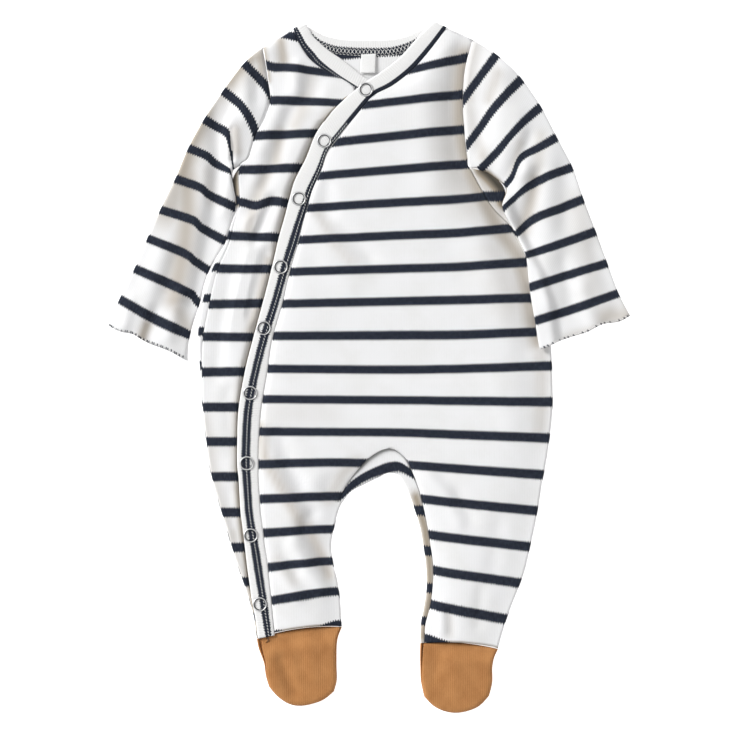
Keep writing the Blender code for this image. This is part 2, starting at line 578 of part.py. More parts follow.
def make_back_body():
    """Back panel: it lies on the ground and comes round the sides and the crotch."""
    mesh = bmesh.new()
    neck = [np.array(BACK_NECK[row][:2]) for row in BACK_NECK_STEPS]
    top = [RIGHT_EDGE[0]] + neck + [LEFT_EDGE[0]]
    width = top[-1][0] - top[0][0]
    top_shares = [(point[0] - top[0][0]) / width for point in top]
    crotch = np.array((RIGHT_LEG[0].inner_x, RIGHT_LEG[0].inner_y + ROLL))
    rows = []
    for index, place in enumerate(TRUNK_ROWS):
        start = side_at(RIGHT_EDGE, RIGHT_OUTLINE, place)
        end = side_at(LEFT_EDGE, LEFT_OUTLINE, place)
        across = (end - start) / np.linalg.norm(end - start)
        if place < UNDERARM:
            start, end = start + across * SEAM_GAP, end - across * SEAM_GAP
        else:
            start = start + side_into("right", place) * ROLL
            end = end + side_into("left", place) * ROLL
        ripe = place / CROTCH
        shares = [a + (b - a) * ripe for a, b in zip(top_shares, BACK_SHARES)]
        row = floor_row(start, end, shares)
        curve = max(0.0, 1 - place / 4.0) ** 2
        for step in range(1, len(row) - 1):
            straight = top[0] + (top[-1] - top[0]) * top_shares[step]
            shift = (top[step] - np.array((0.0, 2 * SEAM_GAP)) - straight) * curve
            row[step][:2] += shift
        arch = max(0.0, (place - (CROTCH - 2)) / 2.0) ** 2
        row[BACK_MIDDLE][:2] += (crotch - row[BACK_MIDDLE][:2]) * arch
        climb = SHOULDER_CLIMB[index] if index < len(SHOULDER_CLIMB) else 0.0
        for step in (0, 1, -2, -1):
            row[step][2] += climb
        rows.append(row)
    lay(mesh, rows, under=True)
    right_rows, left_rows = [rows[-1][:BACK_MIDDLE + 1]], [rows[-1][BACK_MIDDLE:]]
    for place in LEG_ROWS[1:]:
        row = through(RIGHT_LEG, place)
        start = row[0:2] + side_into("right", CROTCH + place) * ROLL
        inner, into, gap = leg_seam("right", place)
        row = floor_row(start, inner + into * ROLL, spread(0.0, 1.0, BACK_MIDDLE))
        right_rows.append(bow(row, place, "right"))
        row = through(LEFT_LEG, place)
        end = row[4:6] + side_into("left", CROTCH + place) * ROLL
        inner, into, gap = leg_seam("left", place)
        row = floor_row(inner + into * ROLL, end, spread(0.0, 1.0, BACK_MIDDLE))
        left_rows.append(bow(row, place, "left"))
    lay(mesh, right_rows, under=True)
    lay(mesh, left_rows, under=True)

    sides = [place for place in TRUNK_ROWS if place >= UNDERARM]
    sides += [CROTCH + place for place in LEG_ROWS[1:]]
    right_side = [(through(RIGHT_OUTLINE, place - UNDERARM), side_into("right", place),
                   side_wrap("right", place), place - CROTCH, "right") for place in sides]
    left_side = [(through(LEFT_OUTLINE, place - UNDERARM), side_into("left", place),
                  side_wrap("left", place), place - CROTCH, "left") for place in sides]
    inner_side = [(*leg_seam("right", place), place, "right") for place in LEG_ROWS[::-1]]
    inner_side += [(*leg_seam("left", place), place, "left") for place in LEG_ROWS[1:]]
    lay(mesh, back_strip(right_side))
    lay(mesh, back_strip(left_side), under=True)
    lay(mesh, back_strip(inner_side))
    return sew("back_body", mesh, CLOTH, STRIPED)


def body_edge_at(y):
    """How far out the body's left edge lies, at a height up the garment."""
    heights = [point[1] for point in LEFT_OUTLINE][::-1]
    reaches = [point[0] for point in LEFT_OUTLINE][::-1]
    return float(np.interp(y, heights, reaches))


def ease(value):
    value = min(max(value, 0.0), 1.0)
    return value * value * (3 - 2 * value)


def left_sleeve_floor(x, y):
    """The left sleeve steps up from the ground onto the body's edge."""
    over = ease((body_edge_at(y) - x + 9.0) / 9.0)
    below_underarm = ease((139.0 - y) / 14.0)
    return SLEEVE_STEP * over * below_underarm


def make_sleeve(name, table, seam, right_side):
    """A sleeve: one tube, pressed flat, open at the armhole and at the cuff."""
    floor_of = (lambda x, y: 0.0) if right_side else left_sleeve_floor
    top_of = lambda x, y: laid_top(x, y) + floor_of(x, y)
    inset = -1 if right_side else 1
    shoulder, underarm = seam[0], seam[-1]
    lengths = [np.linalg.norm(b - a) for a, b in zip(seam, seam[1:])]
    shares = [sum(lengths[:k]) / sum(lengths) for k in range(len(seam))]
    rings = []
    count = len(table) - 1
    places = [0.0, 0.5] + [float(k) for k in range(1, 7)] + spread(6.5, count, 2 * count - 13)
    for place in places:
        row = through(table, place)
        outer, inner, under = row[0:2], row[2:4], row[4:6]
        curve = max(0.0, 1 - place / SEAM_FADE) ** 2
        line = []
        for share, point in zip(shares, seam):
            straight = shoulder + (underarm - shoulder) * share
            step_out = np.array((inset * SEAM_GAP * 2, 0.0)) if place == 0 else 0.0
            line.append(outer + (inner - outer) * share + (point - straight) * curve + step_out)
        across = (inner - outer) / np.linalg.norm(inner - outer)

        def ring_point(edge, into, travel, shift):
            x, y = edge
            floor = floor_of(x, y)
            return round_edge(edge + shift, into, travel, top_of, floor_of(*(edge + into * ROLL)))

        turn = ROLL * math.pi / 2
        outer_turn = [ring_point(line[0], across, travel, 0.0) for travel in spread(turn, -turn, BEND_STEPS)]
        inner_turn = []
        for travel in spread(turn, -turn, BEND_STEPS):
            drop = (turn - travel) / (2 * turn)
            inner_turn.append(ring_point(line[-1], -across, travel, under * drop))
        top = [np.array((*point, top_of(*point))) for point in line[1:-1]]
        low = [np.array((*(point + under * share), floor_of(*point)))
               for share, point in zip(shares[1:-1], line[1:-1])]
        if right_side:
            ring = outer_turn[::-1] + top + inner_turn + low[::-1]
        else:
            ring = inner_turn[::-1] + top[::-1] + outer_turn + low
        ring.append(ring[0])
        rings.append(ring)
    mesh = bmesh.new()
    lay(mesh, rings)
    return sew(name, mesh, CLOTH, STRIPED)


def make_band(name, table, places, crown):
    """A folded band: its two edges are sewn or free, and its middle is a little crowned."""
    rows = []
    for place in places:
        row = through(table, place)
        first, second, base = row[0:2], row[2:4], row[4]
        across = (second - first) / np.linalg.norm(second - first)
        first, second = first + across * SEAM_GAP, second - across * SEAM_GAP
        points = []
        for share, rise in ((0.0, 0.0), (0.5, crown), (1.0, 0.0)):
            x, y = first + (second - first) * share
            points.append(np.array((x, y, base + BAND_CLOTH + rise)))
        rows.append(points)
    if np.cross(rows[0][2][:2] - rows[0][0][:2], rows[1][0][:2] - rows[0][0][:2]) > 0:
        rows = [row[::-1] for row in rows]
    mesh = bmesh.new()
    lay(mesh, rows)
    return sew(name, mesh, BAND_CLOTH, PLAIN_BAND)


def make_under_placket():
    """The strip of the under front that the snap studs are set in, hidden by the band."""
    rows = []
    for place in [LAP_ROW] + spread(5, len(OVER_BAND) - 1 - PLACKET_END, len(OVER_BAND) - 6):
        row = through(OVER_BAND, place)
        across = (row[2:4] - row[0:2]) / np.linalg.norm(row[2:4] - row[0:2])
        first = row[0:2] + across * (UNDER_LAP + PLACKET_INSET)
        second = row[2:4] - across * PLACKET_MARGIN
        rows.append([np.array((*point, PLACKET_BOTTOM + BAND_CLOTH)) for point in (first, second)])
    mesh = bmesh.new()
    lay(mesh, rows)
    return sew("under_placket", mesh, BAND_CLOTH, PLAIN_BAND)


def edges_of_foot(outer, inner, toe, u, v, side):
    """Coons patch between the foot seam, the two sides and the toe."""
    low_x, high_x = (outer, inner) if outer[0][0] < inner[0][0] else (inner, outer)
    first = through(low_x, v * (len(low_x) - 1))
    second = through(high_x, v * (len(high_x) - 1))
    corner_a, corner_b = np.array(low_x[0]), np.array(high_x[0])
    top = corner_a + (corner_b - corner_a) * u
    top[1] += seam_lift(top[0], side)
    bottom = through(toe, u * (len(toe) - 1))
    toe_a, toe_b = np.array(low_x[-1]), np.array(high_x[-1])
    flat = (1 - u) * (1 - v) * corner_a + u * (1 - v) * corner_b + (1 - u) * v * toe_a + u * v * toe_b
    return (1 - v) * top + v * bottom + (1 - u) * first + u * second - flat


def distance_to_line(point, line):
    nearest = 1e9
    for a, b in zip(line, line[1:]):
        run, offset = b - a, point - a
        share = min(max(offset.dot(run) / max(run.dot(run), 1e-9), 0.0), 1.0)
        nearest = min(nearest, np.linalg.norm(offset - run * share))
    return nearest


def make_foot(side, outer, inner, toe, wrap):
    """A foot: the upper rounds down to a sole that comes up a little way round it."""
    def outline_point(u, v):
        return edges_of_foot(outer, inner, toe, u, v, side)

    steps = spread(0.0, 1.0, 24)
    outline = [outline_point(0.0, v) for v in steps] + [outline_point(u, 1.0) for u in steps[1:]] \
        + [outline_point(1.0, v) for v in steps[::-1][1:]]

    def height(point, v, upper):
        away = distance_to_line(point, outline)
        grown = ease(v / FOOT_SWELL)
        top = LAID_HEIGHT + (FOOT_HEIGHT - LAID_HEIGHT) * grown
        roll = ROLL * (1 + (FOOT_ROLL - 1) * grown)
        lean = math.sqrt(1 - (1 - min(away / roll, 1.0)) ** 2)
        return top / 2 * (1 + lean if upper else 1 - lean)

    for upper in (True, False):
        inset = UPPER_INSET if upper else 0.0
        rows = []
        for v in FOOT_DOWN:
            v = min(v, 1.0 - inset)
            row = []
            for u in FOOT_ACROSS:
                u = min(max(u, inset), 1.0 - inset)
                if upper and u < 0.1:
                    u += wrap * max(0.0, 1 - v * 1.25)
                point = outline_point(u, v) - np.array((0.0, FOOT_GAP)) * (1 - v)
                row.append(np.array((*point, height(point, v, upper))))
            rows.append(row)
        mesh = bmesh.new()
        lay(mesh, rows, under=not upper)
        sew(("foot_upper_" if upper else "foot_sole_") + side, mesh, FOOT_CLOTH, TAN_RIB)


def make_snaps():
    """Nine prong snaps: the open ring on the band, and the closed halves under it."""
    places = spread(0, len(OVER_BAND) - 1, 200)
    for number, (x, y) in enumerate(SNAPS, start=1):
        spot = np.array((x, y))
        nearest = min(places, key=lambda p: np.linalg.norm(band_middle(p) - spot))
        base = through(OVER_BAND, nearest)[4]
        seat = base + BAND_CLOTH + BAND_CROWN + RING_SEAT + RING_WIRE * RING_SQUASH
        bpy.ops.mesh.primitive_torus_add(major_radius=RING_RADIUS * MM, minor_radius=RING_WIRE * MM,
                                         major_segments=18, minor_segments=6,
                                         location=(x * MM, y * MM, seat * MM))
        ring = bpy.context.object
        ring.scale = (1.0, 1.0, RING_SQUASH)
        adopt(ring, f"snap_ring_{number}", BARE_METAL)
        bottom = PLACKET_BOTTOM + BAND_CLOTH + STUD_SEAT
        bpy.ops.mesh.primitive_cylinder_add(vertices=STUD_SIDES, radius=STUD_RADIUS * MM,
                                            depth=STUD_HEIGHT * MM,
                                            location=(x * MM, y * MM, (bottom + STUD_HEIGHT / 2) * MM))
        adopt(bpy.context.object, f"snap_stud_{number}", BARE_METAL)


def band_middle(place):
    row = through(OVER_BAND, place)
    return (row[0:2] + row[2:4]) / 2


def adopt(piece, name, material):
    piece.name = name
    piece.data.name = name
    piece.data.materials.append(material)
    piece.data.shade_smooth()
    for collection in list(piece.users_collection):
        collection.objects.unlink(piece)
    GARMENT.objects.link(piece)


def make_label():
    """Small woven label, sewn in at the back neck."""
    a, b, c, d = (np.array((*corner, LABEL_BOTTOM + LABEL_CLOTH)) for corner in LABEL_CORNERS)
    mesh = bmesh.new()
    lay(mesh, [[a, b], [d, c]])
    return sew("neck_label", mesh, LABEL_CLOTH, LABEL)


for old in list(bpy.data.objects):
    bpy.data.objects.remove(old, do_unlink=True)

GARMENT = bpy.data.collections.new("baby_romper")
bpy.context.scene.collection.children.link(GARMENT)
STRIPED = plain_material("striped_rib", COTTON, 0.85)
PLAIN_BAND = plain_material("band_rib", COTTON, 0.85)
TAN_RIB = plain_material("tan_rib", TAN, 0.85)
BARE_METAL = plain_material("snap_metal", STEEL, 0.3, 1.0)
LABEL = plain_material("label_satin", LABEL_WHITE, 0.5)

make_back_body()
make_front_left()
make_front_right()
make_sleeve("sleeve_right", RIGHT_SLEEVE, RIGHT_EDGE[:UNDERARM + 1], True)
make_sleeve("sleeve_left", LEFT_SLEEVE, LEFT_EDGE[:UNDERARM + 1], False)
make_band("over_band", OVER_BAND, [0.0] + spread(0.5, len(OVER_BAND) - 1, 61), BAND_CROWN)
make_under_placket()
make_band("neck_band_right", RIGHT_NECK, spread(0, len(RIGHT_NECK) - 1, 14), NECK_CROWN)
make_band("neck_band_back", BACK_NECK, spread(0, len(BACK_NECK) - 1, 20), 0.0)
make_foot("right", RIGHT_FOOT_OUTER, RIGHT_FOOT_INNER, RIGHT_FOOT_TOE, SOLE_WRAP_RIGHT)
make_foot("left", LEFT_FOOT_OUTER, LEFT_FOOT_INNER, LEFT_FOOT_TOE, SOLE_WRAP_LEFT)
make_snaps()
make_label()
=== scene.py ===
# A baby's footed romper, laid flat on its back: cream rib knit with navy stripes, a crossed front
# that nine ring snaps close, white bands round the neck and the lap, and tan ribbed feet.
# The neck is towards +Y.  "Right" and "left" are the wearer's, so the right side is at -X.
import math
from collections import namedtuple

import bmesh
import bpy
import numpy as np
from mathutils import Matrix, Vector


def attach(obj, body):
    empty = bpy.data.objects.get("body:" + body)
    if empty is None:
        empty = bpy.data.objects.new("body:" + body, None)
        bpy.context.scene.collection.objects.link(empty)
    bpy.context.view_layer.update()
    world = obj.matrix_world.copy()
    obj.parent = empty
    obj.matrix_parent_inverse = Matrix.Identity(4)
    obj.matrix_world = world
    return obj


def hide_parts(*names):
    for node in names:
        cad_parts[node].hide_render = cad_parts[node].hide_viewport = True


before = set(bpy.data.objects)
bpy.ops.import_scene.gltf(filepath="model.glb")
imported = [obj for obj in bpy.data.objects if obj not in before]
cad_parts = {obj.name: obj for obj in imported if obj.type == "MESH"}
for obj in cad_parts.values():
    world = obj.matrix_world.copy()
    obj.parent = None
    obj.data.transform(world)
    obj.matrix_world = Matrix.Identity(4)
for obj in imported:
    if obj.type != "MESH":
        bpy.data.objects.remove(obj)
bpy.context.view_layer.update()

# ---------------------------------------------------------------------------- back panel
# The back is cut in one piece from a cream cotton rib with navy stripes knitted in, about 1 mm
# thick.  It lies on the table, and its edges come round to the side seams, the inner legs and
# the arch of the crotch.  Sizes are in millimetres.

MM = 0.001
CLOTH = 1.0               # rib knit of the body and the sleeves
SHELL_SHARE = 0.9         # a shell's wall, as a share of its cloth
LAID_HEIGHT = 3.8         # the two layers where they meet at an edge
ROLL = 1.9                # how far an outer edge rounds over
TURN = ROLL * math.pi / 2     # travel from an edge's middle up to the flat cloth
SEAM_GAP = 0.04           # a shell stops this far short of its seam
SEAM_DIP = 0.35           # how much it dips beside a seam on a rounded edge
DIP_WIDTH = 0.8           # and over this width
LEAST_STRIP = 0.3         # the back comes round at least this far past an edge's middle
PAST_TURN = 0.4           # a front's close columns start this far up from an edge's bend
SOFTNESS = 0.5            # over which a trough levels out
LEAST_HEIGHT = 2.1        # two layers pressed right down
GRID = 2.4                # spacing of the cloth's sections
STRIPE_SHARE = 0.136      # half of the navy stripe, as a share of the repeat
STRIPE_BLUR = 0.012       # its edge blends over this share to either side
STRIPE_RUN = 25.0         # a stripe's line runs on this far past its ends
LEAST_REPEAT = 4.0        # two stripes lie at least this far apart
PLAIN_ABOVE = -0.6        # no stripe repeats higher than this share above the first
WALE = 1.28               # one rib of the knit
TOOTH = 1.9               # pitch of the small steps along a stripe's edge
COURSES = 26.0            # rows of loops in one repeat of the stripes
CREAM = (0.925, 0.926, 0.934, 1.0)
CREAM_DEEP = (0.885, 0.884, 0.880, 1.0)
CREAM_PAINTED_SHADE = (0.40, 0.340, 0.265, 1.0)     # painted shade: the cream warmer and darker, down in a crease
CREAM_PAINTED_SHADOW = (0.070, 0.062, 0.050, 1.0)     # painted shadow at the bottom of a tuck, where the painted shade is over 1
RIB_GROOVE_SHADE = (0.955, 0.955, 0.955, 1.0)     # painted shade that tints the cream down between two ribs
NAVY = (0.014, 0.018, 0.031, 1.0)
# The lighter navy serves random wear and a painted highlight on the ribs' crowns.
NAVY_WORN_AND_RIB_LIT = (0.028, 0.035, 0.052, 1.0)

NARROW_WRAP = 0.45        # side seam that lies on the outer edge itself
# Sections of the trunk, from the shoulders down to the crotch.  Down to the underarm, "right"
# and "left" are the armhole seams, and below it the outer edges.  "lap" is where the under
# front ends, and a wrap is how far the back comes round onto the front.
Trunk = namedtuple("Trunk", "right_x right_y left_x left_y lap_x lap_y wrap_right wrap_left")
TRUNK = [
    Trunk(-81.5, 247, 80, 252.5, -58.5, 261, 0, 0),
    Trunk(-79.5, 235, 76, 238.5, -51.5, 245.5, 0, 0),
    Trunk(-77.5, 221, 73.5, 225, -39.5, 232, 0, 0),
    Trunk(-76, 205.5, 72.5, 211, -10.5, 214, 0, 0),
    Trunk(-80.5, 191.5, 72.5, 198, -28.5, 197, 0, 0),
    Trunk(-87, 179.5, 73.5, 185, -40, 181.5, 0, 0),
    Trunk(-90.5, 168.5, 74.5, 172.5, -47, 168, 0, 0),
    Trunk(-94, 159, 76, 161.5, -51.5, 158, 0, 0),
    Trunk(-99.5, 155, 78, 153.5, -54.5, 151.5, 0, 0),
    Trunk(-105, 145.5, 94.5, 148.6, -57, 145, 4.6, 14),
    Trunk(-104, 135.5, 104.8, 137, -61, 136, 4.2, 18),
    Trunk(-102.5, 124, 104.5, 122.5, -63.5, 124, 2.5, 9),
    Trunk(-106.5, 110, 110.5, 108.5, -67, 111, 2.5, 1.5),
    Trunk(-112, 93, 118, 93, -71, 94, 3.4, NARROW_WRAP),
    Trunk(-122, 73, 128, 73, -75.5, 73.5, 4.6, NARROW_WRAP),
    Trunk(-129, 47.5, 136.5, 47.5, -82.5, 47.5, 5.8, NARROW_WRAP),
    Trunk(-132, 21, 140, 21, -89.5, 21, 3.9, NARROW_WRAP),
    Trunk(-130, -5.5, 141.5, -7, -96, -5.5, 1.2, NARROW_WRAP),
    Trunk(-128.5, -33, 141.5, -34.5, -100.5, -33, NARROW_WRAP, NARROW_WRAP),
    Trunk(-125.5, -60, 138.5, -61.5, -101.5, -60, NARROW_WRAP, NARROW_WRAP),
    Trunk(-123.5, -75.5, 136, -77, -101, -75.5, NARROW_WRAP, NARROW_WRAP),
]
UNDERARM = 8              # row of the underarm
CROTCH = len(TRUNK) - 1   # row of the crotch

# The legs, from the crotch to the foot seam.  "seam" is where the front ends on the inner leg.
RightLeg = namedtuple("RightLeg", "outer_x outer_y inner_x inner_y seam_x seam_y lap_x lap_y")
RIGHT_LEG = [
    RightLeg(-123.5, -75.5, 15.5, -81.5, 15.5, -62.5, -101, -75.5),
    RightLeg(-121.5, -85.5, 6, -86, 1.5, -69, -100.5, -85.5),
    RightLeg(-119, -94.5, -4, -91, -8, -78.5, -100, -94.5),
    RightLeg(-116.5, -103, -13, -95.5, -17.5, -91, -99.5, -102.5),
    RightLeg(-114, -112.5, -19, -102.5, -21.5, -101, -99, -111.5),
    RightLeg(-110.5, -123, -23, -109.5, -23, -109.5, -97.5, -123),
    RightLeg(-106.5, -138, -26.5, -123, -26.5, -123, -95.5, -139.5),
    RightLeg(-102, -151.5, -29, -137, -29, -137, -93.5, -153),
    RightLeg(-97.5, -165.5, -27.5, -151, -27.5, -151, -92, -166.5),
    RightLeg(-92.5, -179.5, -24, -166.5, -24, -166.5, -90, -180),
    RightLeg(-89, -193.5, -22, -181.5, -22, -181.5, -87.5, -193),
    RightLeg(-86.5, -209, -21, -200, -21, -200, -85.5, -208.5),
]
LeftLeg = namedtuple("LeftLeg", "inner_x inner_y seam_x seam_y outer_x outer_y")
LEFT_LEG = [
    LeftLeg(15.5, -81.5, 15.5, -62.5, 136, -77),
    LeftLeg(23, -84, 27.5, -69.5, 134.5, -84.5),
    LeftLeg(27.5, -91, 33, -80, 133, -92.5),
    LeftLeg(31, -98.5, 37, -90, 132, -100),
    LeftLeg(34.5, -108, 40.5, -101.5, 130.5, -108.5),
    LeftLeg(39, -122.5, 44.5, -120, 128, -122.5),
    LeftLeg(42, -138.5, 47.5, -138, 124.5, -138),
    LeftLeg(44, -154, 49.5, -154, 121, -154),
    LeftLeg(44.5, -169.5, 49, -170, 115.5, -170),
    LeftLeg(42.5, -184, 47, -185, 109.5, -185),
    LeftLeg(40, -198, 43.5, -198.5, 104.5, -199.5),
    LeftLeg(39.5, -212.5, 42.5, -213, 99.5, -217),
]
NO_WRAP = 1.5             # a seam nearer the edge than this lies on the edge itself
ANKLE_RISE = {"right": 3.2, "left": 2.5}      # the foot seam bows up in its middle
BOW_ROWS = 3              # leg sections that follow that bow
NECK_FADE = 4.0           # sections over which the back's neck curve dies out
BACK_ARCH_ROWS = 2        # sections over which it draws together to the crotch
SHOULDER_BACK = 1.3       # the back comes up this much to the shoulder line
BACK_FINER = 4            # columns of its mesh between two of the shares below
BACK_NECK_EDGE = [(-58, 259.5), (-41.5, 247), (-29.5, 242.5), (-14.5, 240.5), (1.5, 240),
                  (17.5, 240.5), (31.5, 244), (43, 249.5), (59.5, 260.5)]
BACK_SHARES = (0, 0.13, 0.24, 0.34, 0.44, 0.536, 0.63, 0.72, 0.81, 0.91, 1)
BACK_MIDDLE = 5           # column of the back panel that ends at the crotch

# Middles of the navy stripes on the back, as heights at five places across, top to bottom.
BACK_ACROSS = (-130, -100, 0, 85, 140)
BACK_STRIPES = [
    (226, 231, 242.5, 244, 240), (200, 204, 216, 219, 214),
    (175, 179, 189, 191, 187), (152, 154.5, 162, 164, 160),
    (126, 128.5, 133, 130.5, 135), (99.5, 101.5, 105, 104, 106),
    (75, 78, 78, 78.5, 79.5), (53, 53.5, 51.5, 51.5, 53),
    (27.5, 27.5, 25, 25.5, 26.5), (1, 0.5, -1.5, -1, 0.5),
    (-26, -26.5, -26.5, -27, -28), (-53, -53, -51.5, -52.5, -55.5),
    (-79, -78.5, -76, -79, -83.5), (-105.5, -104, -102, -108.5, -112),
    (-132, -130.5, -128, -136, -140), (-158.5, -157, -153, -163, -168),
    (-185, -182, -178, -191, -196), (-211, -207, -204, -218, -224),
]
# The same on the strip of the back that shows inside the crotch and down the left inner leg.
CROTCH_STRIPES = [
    [(-23, -66), (0, -60), (15, -50), (30, -60), (50, -75)],
    [(-21, -99.5), (-13.5, -91.5), (-4, -84.5), (5.5, -80), (15.5, -77), (23, -76),
     (30, -79.5), (36, -83.5), (48, -90)],
    [(-30, -122), (0, -116), (38, -110), (44, -113)],
    [(-30, -150), (0, -148), (43, -141.5), (49, -144)],
    [(-30, -176), (0, -174), (44, -170.5), (50, -172)],
    [(-30, -200), (0, -198), (40, -195.5), (46, -198)],
    [(-30, -226), (0, -224), (40, -221), (46, -224)],
]

# A fold is a soft ridge, or a trough when its height is negative, along a line of points.
Fold = namedtuple("Fold", "height width line")
BACK_FOLDS = [
    Fold(0.9, 9, [(-60, 150), (-70, 90), (-66, 40)]),
    Fold(0.7, 7, [(52, 175), (60, 120)]),
    Fold(0.8, 11, [(10, 60), (20, -10), (14, -50)]),
    Fold(0.6, 8, [(-80, -110), (-62, -165)]),
    Fold(0.7, 8, [(92, -60), (84, -130)]),
]
# Painted shade in the cream on the edges that come round: under both arms, at the sides and
# inside the left leg, with painted shadow down in the tucks under the arms.  Here a fold's height
# is how much shade is painted, and over 1 it turns to painted shadow.
TUCK_SHADOWS = [
    Fold(2, 6.5, [(88, 152.5), (95.5, 145), (102, 137.5), (104.5, 128)]),
    Fold(1.7, 3, [(-104.5, 158), (-104, 146), (-103, 133), (-102.6, 126)]),
]
SIDE_PAINTED_SHADE = TUCK_SHADOWS + [
    Fold(0.5, 6, [(84, 146), (92, 136)]),
    Fold(0.5, 7, [(92, 128), (101, 112), (114, 90)]),
    Fold(1, 4.5, [(36, -100), (43, -124), (46.5, -150), (47, -176), (41, -208)]),
    Fold(0.5, 4, [(-12, -72), (0, -62)]),
]


def through(table, place):
    """Read a table at a fractional row, on a smooth curve through its rows."""
    last = len(table) - 1
    row = min(int(place), last - 1)
    part = place - row
    a, b, c, d = (np.array(table[min(max(k, 0), last)], float) for k in range(row - 1, row + 3))
    return b + 0.5 * part * (c - a + part * (2 * a - 5 * b + 4 * c - d + part * (3 * (b - c) + d - a)))


def columns(table, first):
    """Two neighbouring columns of a table, as a line of points."""
    return [np.array(row[first:first + 2], float) for row in table]


def unit(vector):
    return vector / np.linalg.norm(vector)


def evenly(last, step, *lines):
    """Fractional rows whose sections lie one step apart, going by the mean of the lines."""
    places = np.linspace(0, last, 30 * last + 1)
    travel = np.zeros(len(places))
    for line in lines:
        spots = np.array([through(line, place) for place in places])
        travel[1:] += np.cumsum(np.linalg.norm(np.diff(spots, axis=0), axis=1)) / len(lines)
    count = math.ceil(travel[-1] / step)
    return np.interp(np.linspace(0, travel[-1], count + 1), travel, places)


def away_from(line, spots):
    """Distance of each spot from a line of points."""
    nearest = np.full(spots.shape[:-1], 1e9)
    for a, b in zip(line, line[1:]):
        a, run = np.array(a, float), np.array(b, float) - np.array(a, float)
        offset = spots[..., :2] - a
        share = np.clip(offset @ run / (run @ run), 0, 1)
        nearest = np.minimum(nearest, np.linalg.norm(offset - share[..., None] * run, axis=-1))
    return nearest


def bell(distance, width):
    return np.exp(-(distance / width) ** 2)


def ridges(spots, folds):
    """Height of each fold at each spot, after a layer of zeros."""
    return [np.zeros(spots.shape[:-1])] + [fold.height * bell(away_from(fold.line, spots), fold.width)
                                           for fold in folds]


def swell(spots, folds):
    """Height that some folds add at each spot."""
    return sum(ridges(spots, folds))


def painted_shade_at(spots, shaded_creases):
    """How much shade is painted into the cream at each spot, going by the strongest shaded crease there."""
    return np.max(ridges(spots, shaded_creases), axis=0)


RIGHT_EDGE = columns(TRUNK, 0)
LEFT_EDGE = columns(TRUNK, 2)
LAP_EDGE = columns(TRUNK, 4)
RIGHT_OUTLINE = RIGHT_EDGE[UNDERARM:] + columns(RIGHT_LEG, 0)[1:]
LEFT_OUTLINE = LEFT_EDGE[UNDERARM:] + columns(LEFT_LEG, 4)[1:]
ARCH_INNER = columns(RIGHT_LEG, 2)[::-1] + columns(LEFT_LEG, 0)[1:]
ARCH_SEAM = columns(RIGHT_LEG, 4)[::-1] + columns(LEFT_LEG, 2)[1:]
TRUNK_PLACES = np.unique(np.append(evenly(CROTCH, GRID, RIGHT_EDGE, LEFT_EDGE), float(UNDERARM)))
LEG_PLACES = evenly(len(RIGHT_LEG) - 1, GRID, columns(RIGHT_LEG, 0), columns(LEFT_LEG, 4))
ANKLES = {"right": (-86.5, -21), "left": (39.5, 99.5)}
OUTLINES = {"right": (RIGHT_EDGE, RIGHT_OUTLINE), "left": (LEFT_EDGE, LEFT_OUTLINE)}


def side_at(side, place):
    """The armhole seam above the underarm, and the outer edge below it."""
    edge, outline = OUTLINES[side]
    return through(edge, place) if place < UNDERARM else through(outline, place - UNDERARM)


def inward(line, place, side):
    """Unit vector into the cloth from its edge; side is +1 where that is to +X."""
    along = unit(through(line, min(place + 0.2, len(line) - 1.0)) - through(line, max(place - 0.2, 0.0)))
    return side * np.array((-along[1], along[0]))


def side_into(side, place):
    """Into the cloth: along the section on the trunk, square to the edge on a leg."""
    outline = OUTLINES[side][1]
    if place > CROTCH:
        return inward(outline, place - UNDERARM, 1 if side == "right" else -1)
    far = through(LAP_EDGE if side == "right" else BAND_MAIN, place)
    return unit(far - through(outline, place - UNDERARM))


def side_wrap(side, place):
    return NARROW_WRAP if place > CROTCH else through(TRUNK, place)[6 if side == "right" else 7]


def leg_seam(side, place):
    """Inner edge, the way into the cloth and the seam's distance, for a leg section."""
    where = len(RIGHT_LEG) - 1 + (place if side == "left" else -place)
    inner, seam = through(ARCH_INNER, where), through(ARCH_SEAM, where)
    gap = np.linalg.norm(seam - inner)
    if gap > NO_WRAP:
        return inner, (seam - inner) / gap, gap
    return inner, inward(ARCH_INNER, where, 1), NARROW_WRAP


def travel_of(wrap):
    """Travel up the rounded edge at which a seam lies that far in from the edge."""
    if wrap >= ROLL:
        return TURN + wrap - ROLL
    return ROLL * math.acos(1 - wrap / ROLL)


def rolled(edge, into, travels, top, low=0.0):
    """Spots round an outer edge: travel runs from its middle, up (+) or down (-)."""
    angle = np.minimum(np.abs(travels) / ROLL, math.pi / 2)
    reach = ROLL * (1 - np.cos(angle)) + np.maximum(np.abs(travels) - TURN, 0.0)
    spots = edge + into * reach[:, None]
    height = low + (top(spots) - low) / 2 * (1 + np.sign(travels) * np.sin(angle))
    return np.column_stack((spots, height))


def bow(spots, place, side):
    """Lift the lowest leg sections to follow the foot seam."""
    ends = ANKLES[side]
    share = np.clip((spots[:, 0] - ends[0]) / (ends[1] - ends[0]), 0, 1)
    ripe = max(0.0, 1 - (len(RIGHT_LEG) - 1 - place) / BOW_ROWS)
    spots[:, 1] += ripe * ANKLE_RISE[side] * 4 * share * (1 - share)
    return spots


def inside(outline, spots):
    """1 at the spots inside an outline, and 0 at the others."""
    winding = np.zeros(spots.shape[:-1])
    for a, b in zip(outline, outline[1:] + outline[:1]):
        first, second = np.array(a) - spots[..., :2], np.array(b) - spots[..., :2]
        cross = first[..., 0] * second[..., 1] - first[..., 1] * second[..., 0]
        winding += np.arctan2(cross, (first * second).sum(-1))
    return (np.abs(winding) > math.pi).astype(float)


